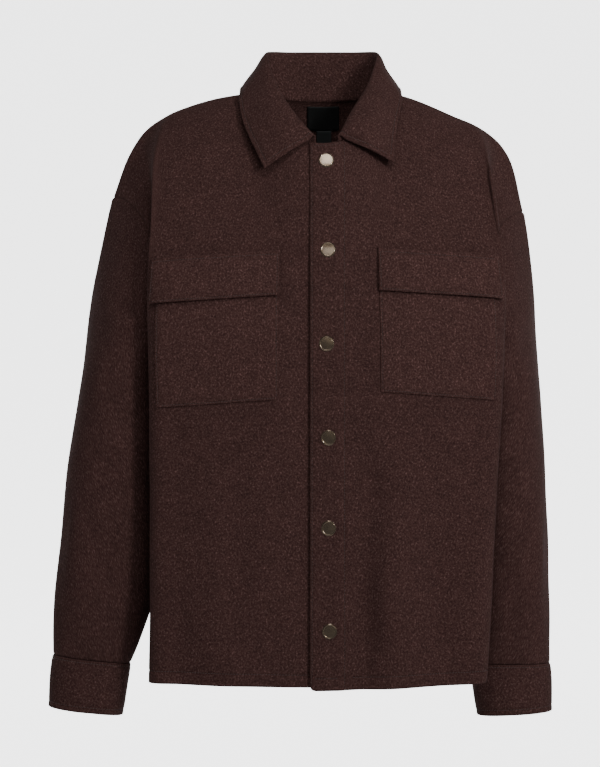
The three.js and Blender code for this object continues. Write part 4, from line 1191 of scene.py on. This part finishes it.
def sleeve_ring(side, row, turn, grow=0):
    """Rings of a sleeve [ring, turn, 3]; turn 0 is the outer side, a quarter turn the front."""
    row = {name: np.atleast_1d(value)[:, None] for name, value in row.items()}

    def square(value):
        return np.sign(value) * np.abs(value) ** SQUARENESS

    half_x = (row["outer"] - row["inner"]) / 2 + grow
    half_y = (row["back"] - row["front"]) / 2 + grow
    x = (row["outer"] + row["inner"]) / 2 + half_x * square(np.cos(turn))
    y = (row["front"] + row["back"]) / 2 - half_y * square(np.sin(turn))
    return points_of(side["sign"] * x, y, row["z"] + row["drop"] / 2 * np.cos(turn))


def sleeve_net(side, turn):
    """A sleeve's rings, from the armhole down to the cuff."""
    w = 1 - turn / np.pi
    front = armhole(side, w, side["armhole_front"])
    rear = armhole(side, -w, side["armhole_back"])
    top = np.where((w >= 0)[:, None], front, rear) * [side["sign"], 1, 1]
    first, last = side["sleeve"][0]["z"], side["sleeve"][-1]["z"]
    upper = sleeve_ring(side, table_at(side["sleeve"], "z", first), turn)[0]
    swell = np.where(np.cos(turn) < 0, SLEEVE_SWELL["inner"], SLEEVE_SWELL["outer"])
    swell = swell * np.abs(np.cos(turn))
    rings = []
    for share in np.linspace(0, 1, SLEEVE_RINGS["upper"] + 1):
        out = points_of(side["sign"] * swell * np.sin(np.pi * share), 0, 0)
        rings.append(mix(top, upper, share) + out)
    levels = np.linspace(first, last, SLEEVE_RINGS["lower"] + 1)[1:]
    lower = sleeve_ring(side, table_at(side["sleeve"], "z", levels), turn)
    return np.concatenate([np.stack(rings), lower])


def sleeve_piece(name):
    side = SIDES[name]
    turn = np.arange(SLEEVE_TURNS) * 2 * np.pi / SLEEVE_TURNS
    net = sleeve_net(side, turn).transpose(1, 0, 2)
    start = np.array(EDGE_LINES) / RING_STEP["first"]
    end = sum(SLEEVE_RINGS.values()) - np.array(EDGE_LINES[::-1]) / RING_STEP["last"]
    stops = [start[-1], SLEEVE_RINGS["upper"], end[0]]
    places = np.concatenate([start, spaced(stops, units=RING_STEP["usual"])[1:], end[1:]])
    grid = along(net, places).transpose(1, 0, 2)
    turned = name == "right"
    x, y, z = np.moveaxis(grid, -1, 0)
    reach = DEGREE["sleeve"]
    creases = CREASES[f"sleeve_{name}"]
    strokes = [([(d * reach, level) for d, level in line], *size) for line, *size in creases]
    height = crease_height(strokes, (np.degrees(turn)[None] + 0 * z) * reach, z)
    height += slow_waves(f"sleeve_{name}", y + x, z)
    distances = edge_distances(grid)
    calm = smooth(np.minimum(distances["bottom"], distances["top"]) / CALM["sleeve"])
    grid = grid + grid_normals(grid, True, turned) * (height * calm)[..., None]
    cloth_piece(
        f"sleeve_{name}_cloth", f"sleeve_{name}", grid, CLOTH, closed=True, turned=turned,
        sewn=("bottom", "top"),
    )  # fmt: skip


def cuff_piece(name):
    side = SIDES[name]
    turn = np.arange(SLEEVE_TURNS) * 2 * np.pi / SLEEVE_TURNS
    lines = np.concatenate([EDGE_LINES, spaced([EDGE_LINES[-1], CUFF_PLAIN])[1:], CUFF_LINES])
    share = lines / CUFF["height"]
    row = {key: mix(value, side["cuff"][key], share) for key, value in side["sleeve"][-1].items()}
    grid = sleeve_ring(side, row, turn, CUFF["step"])
    turned = name == "right"
    crown = CUFF["crown"] * np.sin(np.pi * np.clip(share * 1.05, 0, 1))[:, None]
    round_it = np.degrees(turn)[None] * DEGREE["cuff"] + 0 * grid[..., 0]
    uneven = slow_waves("cuff", round_it, grid[..., 2]) * np.sin(np.pi * share)[:, None]
    grid = grid + grid_normals(grid, True, turned) * (crown + uneven)[..., None]
    cloth_piece(
        f"cuff_{name}_cloth", f"cuff_{name}", grid, CUFF_CLOTH, closed=True, turned=turned,
        sewn=("bottom",), free=("top",),
        stitches=[("bottom", CUFF["seam_stitch"], 0), ("top", CUFF["hem_stitch"], 0)],
    )  # fmt: skip


for name in SIDES:
    sleeve_piece(name)
    cuff_piece(name)


# The collar: from the neckline up inside the neck, over the roll line and down to its edge


def roll_row(side, t):
    return table_at([*ROLL_LINE, {"t": 1, "x": side["collar_end"], **ROLL_END}], "t", t)


def roll_point(side, t):
    p = roll_row(side, t)
    return points_of(side["sign"] * p["x"], p["y"], p["z"])


def collar_edge(name):
    """Points of the collar's free edge, by share of the way round, that lie over the body."""
    side = SIDES[name]
    tip_x, tip_z = side["collar_tip"]
    tip = {"t": 1, "panel": "front", "x": tip_x, "z": tip_z, "lift": COLLAR_TIP_LIFT}
    made = []
    narrow = [
        {**row, "x": row["x"] - side["collar_narrower"] * smooth(row["x"] / NECK_HALF_WIDTH)}
        for row in COLLAR_EDGE
    ]
    for row in [*narrow, tip]:
        if row["panel"] == "shoulder":
            line = shoulder(side, np.linspace(0, 1, 300))
            z = np.interp(row["x"], line[:, 0], line[:, 2]) + row["lift"]
            made.append({"t": row["t"], "x": side["sign"] * row["x"], "y": SEAM_Y, "z": z})
            continue
        skin = back_halves[name] if row["panel"] == "back" else plain_fronts[name]
        last = 3 if row["panel"] == "back" else 6
        level = ROWS - 1
        for _ in range(8):
            level = skin.row_at_height(skin.across_at(level, row["x"], last), row["z"])
        p = skin.lifted(skin.across_at(level, row["x"], last), level, row["lift"])
        made.append({"t": row["t"], "x": p[0], "y": p[1], "z": p[2]})
    return made


# Mesh lines beside the collar's front ends and its free edge, and the last step's width there
COLLAR_END = {"lines": [0, 0.5, 1.1, 2.0, 3.2, 5.0, 6.0, 6.9], "width": 22}
LEAF_END = {"lines": [0, 0.5, 1.1, 2.0, 3.2, 4.4, 5.2, 6.0, 6.8, 7.4], "width": 22}
NORMAL_BLUR = {"reach": 12, "width": 5.0}  # in mesh lines
COLLAR_STITCH = 6  # from its free edges
ROLL_PROBE = 0.02  # how far to both sides the run of the roll line is measured
LEAF_WAVES = {"start": 0.35, "fade": 0.2, "stretch": 1.2}  # only the leaf is uneven


def collar_half(name):
    """The neckline of one side with its normals, from the centre back to the front end."""
    side = SIDES[name]
    back_part = spaced([0, 1, 2], units=45)
    end = 1 + np.array(COLLAR_END["lines"]) / COLLAR_END["width"]
    front_part = np.concatenate([spaced([4, 3, 2, end[-1]], units=35), end[::-1][1:]])

    def neck_seam(lift):
        behind = back_halves[name].lifted(back_part, ROWS, lift)
        return np.concatenate([behind, plain_fronts[name].lifted(front_part[1:], ROWS, lift)])

    seam = neck_seam(0)
    normals = neck_seam(1) - seam
    lengths = np.concatenate([[0], np.cumsum(np.linalg.norm(np.diff(seam, axis=0), axis=1))])
    neck, whole = lengths[len(back_part) - 1], lengths[-1]
    t = np.where(lengths < neck, NECK_POINT_SHARE * lengths / neck, 0)
    t = np.where(lengths >= neck, mix(NECK_POINT_SHARE, 1, (lengths - neck) / (whole - neck)), t)
    # the normals turn from the back's to the front's within a few centimetres of the neck point
    reach = NORMAL_BLUR["reach"]
    kernel = np.exp(-((np.arange(-reach, reach + 1) / NORMAL_BLUR["width"]) ** 2))
    first, last = np.repeat(normals[:1], reach, 0), np.repeat(normals[-1:], reach, 0)
    padded = np.concatenate([first, normals, last])
    soft = np.stack([np.convolve(padded[:, k], kernel, "valid") for k in range(3)], -1)
    return seam, unit(soft), t


def collar_profiles(name):
    """The collar's section at each place along one half of the neckline."""
    side = SIDES[name]
    seam, normal, t = collar_half(name)
    roll = roll_point(side, t)
    ahead, behind = (roll_point(side, np.clip(t + step, 0, 1)) for step in (ROLL_PROBE, -ROLL_PROBE))
    run = unit(ahead - behind) * -side["sign"]
    away = roll - seam
    away = unit(away - normal * (away * normal).sum(-1, keepdims=True))
    seam = seam + away * 0.4
    rise = unit(roll - seam)
    out = unit(np.cross(run, rise))
    through = unit(normal + out * np.maximum(0, -(out * away).sum(-1, keepdims=True)))
    foot = seam - through * COLLAR_CLOTH
    edge = table_at(collar_edge(name), "t", t)
    edge = points_of(edge["x"], edge["y"], edge["z"])
    row = roll_row(side, t)
    width, bulge = row["width"][:, None], row["bulge"][:, None]
    turned = roll + out * width - rise * 5
    skin = [
        foot,
        mix(foot, roll, 0.4),
        mix(foot, roll, 0.85),
        roll + out * width * 0.4,
        turned,
        mix(turned, edge, 0.35) + out * bulge,
        mix(turned, edge, 0.7) + out * bulge * 0.6,
        edge,
    ]
    return np.stack(skin, 1)


def collar_skin():
    """The collar's outer skin, from its seam over the roll line to its free edge."""
    profiles = np.concatenate([collar_profiles("right")[::-1], collar_profiles("left")[1:]])
    end = 7 - np.array(LEAF_END["lines"][::-1]) / LEAF_END["width"]
    stand, roll = spaced([0, 1, 2], units=26), spaced([2, 3, 4], units=9)
    leaf = spaced([4, 6, end[0]], units=23)
    rows = np.concatenate([stand, roll[1:], leaf[1:], end[1:]])
    grid = along(profiles, rows).transpose(1, 0, 2)
    x, y, z = np.moveaxis(grid, -1, 0)
    on_leaf = smooth((np.arange(len(rows)) / len(rows) - LEAF_WAVES["start"]) / LEAF_WAVES["fade"])
    uneven = slow_waves("collar", x * LEAF_WAVES["stretch"], y + z) * on_leaf[:, None]
    return grid + grid_normals(grid) * uneven[..., None]


cloth_piece(
    "collar_cloth", "collar", collar_skin(), COLLAR_CLOTH,
    sewn=("bottom",), free=("top", "start", "end"),
    stitches=[(edge, COLLAR_STITCH, COLLAR_STITCH) for edge in ("top", "start", "end")],
)  # fmt: skip


# The front band, with a row of stitches along both edges


BAND_LINES = [0, 0.5, 1.1, 1.8, 2.4, 3.0, 3.8]  # mesh lines from its long edges
BAND_SLOPE = {"reach": 9, "end": 0.3}  # its right edge comes down to the front
BAND_CROWN = {"height": 0.5, "reach": 12}
BAND_DIMPLE = {"depth": 0.7, "width": 11}  # round each snap
BAND_CORNER = {"radius": 7, "share": 0.8, "fade": 12}  # its free lower corner, a little rounded
BAND_DRAWN_IN = 0.3  # its right edge, by the seam


def across_at_centre(x):
    """The places across, among the first named columns, that lie so far from the centre."""
    places = np.linspace(0, 3, 300)
    line = plain_fronts["left"].lifted(places, ROWS_BELOW, 0)
    return np.interp(x, line[:, 0], places)


def snap_spot(x, z):
    """A snap's place on the left front, across and row."""
    across = across_at_centre(x)
    return across, plain_fronts["left"].row_at_height(across, z)


def band_skin():
    """The band's outer skin: crowned, dimpled at the snaps, its free lower corner rounded."""
    skin = fronts["left"]
    width, lines = PLACKET["right_edge"] - PLACKET["left_edge"], np.array(BAND_LINES)
    middle = spaced([lines[-1], width - lines[-1]])[1:-1]
    x = np.concatenate([lines, middle, (width - lines)[::-1]])
    rows = np.append(skin.rows[skin.rows < PLACKET["top_row"]], PLACKET["top_row"])
    slope = smooth((x - width + BAND_SLOPE["reach"]) / BAND_SLOPE["reach"])
    proud = mix(PLACKET["proud"], BAND_SLOPE["end"], slope)
    across = across_at_centre(PLACKET["left_edge"] + x)
    grid = skin.lifted(*np.meshgrid(across, rows), proud[None])
    distances = edge_distances(grid)
    inside = np.minimum(distances["start"], distances["end"])
    crown = BAND_CROWN["height"] * smooth(inside / BAND_CROWN["reach"])
    for spot in snap_spots:
        away = np.linalg.norm(grid - skin.lifted(*spot, PLACKET["proud"]), axis=-1)
        crown -= BAND_DIMPLE["depth"] * np.exp(-((away / BAND_DIMPLE["width"]) ** 2))
    grid = grid + grid_normals(grid) * crown[..., None]
    grid[:, -1, 0] -= BAND_DRAWN_IN
    corner = np.clip(1 - distances["start"][0] / BAND_CORNER["radius"], 0, 1)
    raised = BAND_CORNER["radius"] * (1 - np.sqrt(1 - corner**2)) * BAND_CORNER["share"]
    grid[..., 2] += raised[None] * np.exp(-distances["bottom"] / BAND_CORNER["fade"])
    return grid


snap_spots = [snap_spot(x, z) for x, z in SNAP_PLACES]
cloth_piece(
    "placket_cloth", "placket", band_skin(), PLACKET_CLOTH,
    flat=("end",), free=("top", "bottom", "start"),
    stitches=[("start", 2.4, 2), ("end", 2.6, 2), ("bottom", HEM_STITCH, 4), ("top", 3, 3)],
)  # fmt: skip


# Chest pockets and their flaps


POCKET = {"gap": 0.4, "swell": 3, "top_below_flap": 20, "last_column": 7, "drop_out": 10}
FLAP = {"wider": 1.5, "last_column": 7.35, "gap": 1, "lip": 1, "stitch": 5.6}
PRESSED = {"below_top": 9, "share": 0.7}  # where the flap is pressed down towards its seam
FLARE = {"height": 0.5, "pace": 8, "start": 2, "below_top": 20, "fade": 30}
POCKET_WIDTH = 150  # roughly, for the mesh lines
EDGE_STITCH = 2.3
POCKET_LINES = [0, 0.5, 1.1, 1.7, 2.3, 3.0, 4.0]  # mesh lines from the edges
BAG_TOP_LINES = [0, 0.5, 1.5]
FLAP_TOP_LINES = [*POCKET_LINES, 5.0, FLAP["stitch"], 6.2, 7.0]


def laid_grid(name, inner_x, last_column, levels, lift):
    """A piece laid on a front from its inner edge outwards, dropping a little to the side."""
    skin, plain = fronts[name], plain_fronts[name]
    middle = plain.row_at_height(4, (levels[0] + levels[-1]) / 2)
    first = plain.across_at(middle, inner_x, 7)
    lines = np.array(POCKET_LINES)
    inside = spaced([lines[-1], POCKET_WIDTH - lines[-1]])[1:-1]
    columns = []
    for share in np.concatenate([lines, inside, (POCKET_WIDTH - lines)[::-1]]) / POCKET_WIDTH:
        across = mix(first, last_column, share)
        row = plain.row_at_height(across, levels - POCKET["drop_out"] * share)
        columns.append(skin.lifted(np.full(len(levels), across), row, lift(levels, share)))
    return np.stack(columns, 1)


def edge_levels(bottom, top, at_top):
    """Heights from bottom to top with fine lines at both."""
    low, high = bottom + np.array(POCKET_LINES), top - np.array(at_top[::-1])
    return np.concatenate([low, spaced([low[-1], high[0]])[1:-1], high])


def swell(share):
    """How far a pocket stands out from the front, between its two sides."""
    return POCKET["swell"] * np.sin(np.pi * share)


def pocket_piece(name):
    pocket = SIDES[name]["pocket"]
    bottom, top = pocket["bottom"], pocket["flap_top"] - POCKET["top_below_flap"]

    def lift(z, share):
        return POCKET["gap"] + CLOTH + swell(share) * smooth((z - bottom) / (top - bottom))

    levels = edge_levels(bottom, top, BAG_TOP_LINES)
    grid = laid_grid(name, pocket["inner_x"], POCKET["last_column"], levels, lift)
    # The pocket wears the lighter copy of the wool: painted light
    cloth_piece(
        f"pocket_{name}_cloth", f"pocket_{name}", grid, CLOTH, turned=name == "right",
        free=("start", "end", "bottom", "top"),
        stitches=[(edge, EDGE_STITCH, 2) for edge in ("start", "end", "bottom")],
        finish="wool_painted_light",
    )  # fmt: skip


def flap_piece(name):
    pocket = SIDES[name]["pocket"]
    bottom, top = pocket["flap_bottom"], pocket["flap_top"]

    def lift(z, share):
        clear = POCKET["gap"] + CLOTH + FLAP["gap"] + swell(share)
        heights = [bottom, mix(bottom, top, 0.5), top - PRESSED["below_top"], top]
        lows = [clear + FLAP["lip"], clear, clear * PRESSED["share"], POCKET["gap"]]
        wave = FLARE["height"] * np.sin(share * FLARE["pace"] + FLARE["start"])
        wave = wave * smooth((top - FLARE["below_top"] - z) / FLARE["fade"])
        return np.interp(z, heights, lows) + FLAP_CLOTH + wave

    levels = edge_levels(bottom, top, FLAP_TOP_LINES)
    grid = laid_grid(name, pocket["inner_x"] - FLAP["wider"], FLAP["last_column"], levels, lift)
    edge_rows = [(edge, EDGE_STITCH, 2) for edge in ("start", "end", "bottom")]
    # The flap wears the lighter copy of the wool: painted light
    cloth_piece(
        f"flap_{name}_cloth", f"flap_{name}", grid, FLAP_CLOTH, turned=name == "right",
        free=("start", "end", "bottom", "top"), stitches=[*edge_rows, ("top", FLAP["stitch"], 2)],
        finish="wool_painted_light",
    )  # fmt: skip


for name in SIDES:
    pocket_piece(name)
    flap_piece(name)


# Snap caps: a stamped cap with a thin rolled rim and a nearly flat face, on a thin washer that
# shows round it as a dark ring; radius and height of each ring

CAP_PROFILE = [
    *((8.0, -0.9), (9.0, 0.0), (9.15, 0.2), (9.0, 0.4)),  # the washer
    *((8.2, 0.45), (8.1, 0.8), (8.4, 1.2), (8.45, 1.6), (8.35, 1.95)),  # the cap's side
    *((8.1, 2.2), (7.8, 2.28), (7.55, 2.2), (7.35, 2.1)),  # the rolled rim
    *((7.1, 2.12), (4.8, 2.3), (2.5, 2.4), (0.7, 2.43)),  # the face
]
CAP_SUNK = 0.1
CAP_SIDES = 48


def snap_cap(number, spot):
    seat = fronts["left"].lifted(*spot, PLACKET["proud"])
    plain = plain_fronts["left"]
    normal = unit(plain.lifted(*spot, 1) - plain.lifted(*spot, 0))
    side_way = unit(np.cross(normal, [0, 0, 1.0]))
    up_way = np.cross(side_way, normal)
    turns = (np.arange(CAP_SIDES) * 2 * np.pi / CAP_SIDES)[:, None]
    ring = np.cos(turns) * side_way + np.sin(turns) * up_way
    points = [seat + ring * radius + normal * (high - CAP_SUNK) for radius, high in CAP_PROFILE]
    faces = ringed_faces(0, len(points), CAP_SIDES, inward=True)
    made = new_mesh(f"snap_cap_{number}", np.concatenate(points), faces)
    made.data.materials.append(MATERIALS["snap_metal"])
    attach(made, "root")
    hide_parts(f"snap_{number}")


for number, spot in enumerate(snap_spots, 1):
    snap_cap(number, spot)


# Labels inside the back of the neck, bare

LABELS = table(
    "name node centre width top bottom",
    ("neck_label_cloth", "neck_label", 2, 40, -8, -37),
    ("size_label_cloth", "size_label", 3, 19, -37.4, -54),
)
LABEL_STEP = 1.6  # between its mesh lines
LABEL_CLEAR = 1.6  # behind the inner skin of the back
LABEL_WAVE = {"height": 0.3, "pace": 0.16, "start": 1, "fade": 20}


def label(name, node, centre, width, top, bottom):
    skin = back_halves["left"]
    levels = spaced([bottom, top], step=LABEL_STEP)
    rows = skin.row_at_height(0.1, levels)
    fade = smooth((top - levels) / LABEL_WAVE["fade"])
    columns = []
    for x in centre + spaced([-width / 2, width / 2], step=LABEL_STEP):
        across = [skin.across_at(row, abs(x), 2) for row in rows]
        wave = np.sin((x - centre) * LABEL_WAVE["pace"] + LABEL_WAVE["start"])
        depth = -(CLOTH + LABEL_CLEAR) - LABEL_WAVE["height"] * wave * fade
        columns.append(skin.lifted(across, rows, depth) * [-1 if x < 0 else 1, 1, 1])
    cloth_piece(
        name, node, np.stack(columns, 1), LABEL_CLOTH, free=("top", "bottom", "start", "end"),
        slot=name,
    )  # fmt: skip


for row in LABELS:
    label(**row)


# Camera, floor and light

CAMERA = {"x": -0.0268, "y": -3.6, "z": -0.352}
SHOWN_HEIGHT = 0.9357  # of the picture in the plane of the shoulder seams, in metres
SENSOR = 36.0
# The floor lies well below the garment, and the backdrop curves up from it, in metres
STUDIO = {"floor_z": -2.6, "floor_reach": 12.0, "wall": 10.0, "curve": 1.0, "top_z": 5.0}
BACKDROP = {"half_turn": 110, "turns": 45, "curve_steps": 17, "off_floor": 0.002}
# The backdrop's glow is painted light: the board itself shines, and it lights the garment too
GLOW = {"middle": 2.87, "sides": 0.12, "from": 0.25, "to": 0.95}  # fades between these radians
WORLD = {"colour": "f4f4f5", "strength": 0.29}
SOFTBOXES = table(
    "name place aim size watts",
    ("overhead_softbox", (0.08, -1.55, 1.35), (0, -0.05, -0.15), (0.75, 0.7), 12.5),
    ("key_softbox", (1.4, -2.4, 0.5), (0, 0, -0.4), (0.5, 0.6), 47),
    ("front_panel", (0.1, -2.3, 0.55), (0, 0, -0.3), (0.9, 0.5), 3.2),
)

camera_data = bpy.data.cameras.new("camera")
camera_data.sensor_width = SENSOR
camera_data.lens = SENSOR * -CAMERA["y"] / SHOWN_HEIGHT
camera = bpy.data.objects.new("camera", camera_data)
camera.location = (CAMERA["x"], CAMERA["y"], CAMERA["z"])
camera.rotation_euler = (math.radians(90), 0, 0)
bpy.context.scene.collection.objects.link(camera)
bpy.context.scene.camera = camera


def painted_board(name, glows):
    """Matt painted studio board, pale grey. The backdrop's middle glows though no lamp stands behind
    it, painted light that also lights the garment, and the glow fades round to the sides, by the
    direction in which a point of it lies."""
    tree, shader, material = new_material(name)
    set_inputs(tree, shader, {"Base Color": srgb("e9e9ea"), "Roughness": 0.9})
    if glows:
        place = add_node(tree, "ShaderNodeTexCoord").outputs["Object"]
        parts = add_node(tree, "ShaderNodeSeparateXYZ", inputs={"Vector": place}).outputs
        turn = add_node(
            tree, "ShaderNodeMath", {"operation": "ARCTAN2"}, {0: parts["X"], 1: parts["Y"]}
        ).outputs[0]
        aside = add_node(tree, "ShaderNodeMath", {"operation": "ABSOLUTE"}, {0: turn}).outputs[0]
        stops = [(GLOW["from"], grey(1.0)), (GLOW["to"], grey(GLOW["sides"]))]
        shine = add_node(tree, "ShaderNodeValToRGB", {"stops": stops}, {"Fac": aside})
        shine.color_ramp.interpolation = "EASE"
        glow = {"Emission Color": shine.outputs["Color"], "Emission Strength": GLOW["middle"]}
        set_inputs(tree, shader, glow)
    return material


def board(name, points, faces, glows):
    """A stage piece from points in metres."""
    made = new_mesh(name, np.array(points, float) / MM, faces)
    made.data.materials.append(painted_board(name, glows))


def backdrop_board():
    """A board round the garment's back and sides that curves up from the floor."""
    radius, floor = STUDIO["curve"], STUDIO["floor_z"] + BACKDROP["off_floor"]
    line = [
        (STUDIO["wall"] - radius + radius * math.sin(t), floor + radius - radius * math.cos(t))
        for t in np.linspace(0, math.pi / 2, BACKDROP["curve_steps"])
    ]
    line.append((STUDIO["wall"], STUDIO["top_z"]))
    wide = BACKDROP["turns"]
    turns = np.radians(np.linspace(-BACKDROP["half_turn"], BACKDROP["half_turn"], wide))
    points = [(r * math.sin(t), r * math.cos(t), z) for r, z in line for t in turns]
    faces = [
        (k * wide + s, k * wide + s + 1, (k + 1) * wide + s + 1, (k + 1) * wide + s)
        for k in range(len(line) - 1)
        for s in range(wide - 1)
    ]
    board("studio_backdrop", points, faces, True)


def softbox(name, place, aim, size, watts):
    lamp = bpy.data.lights.new(name, "AREA")
    lamp.shape = "RECTANGLE"
    lamp.size, lamp.size_y = size
    lamp.energy = watts
    made = bpy.data.objects.new(name, lamp)
    made.location = place
    made.rotation_euler = (Vector(aim) - Vector(place)).to_track_quat("-Z", "Y").to_euler()
    bpy.context.scene.collection.objects.link(made)


far = STUDIO["floor_reach"]
corners = [(x * far, y * far, STUDIO["floor_z"]) for x, y in ((-1, -1), (1, -1), (1, 1), (-1, 1))]
board("studio_floor", corners, [(0, 1, 2, 3)], False)
backdrop_board()
for row in SOFTBOXES:
    softbox(**row)

world = bpy.data.worlds.new("studio")
world.use_nodes = True
bpy.context.scene.world = world
air = {"Color": srgb(WORLD["colour"]), "Strength": WORLD["strength"]}
set_inputs(world.node_tree, world.node_tree.nodes["Background"], air)


for name, width, length, area in CUTS:
    print(f"cut {name}: {width:.0f} x {length:.0f} mm, {area:.4f} m2")
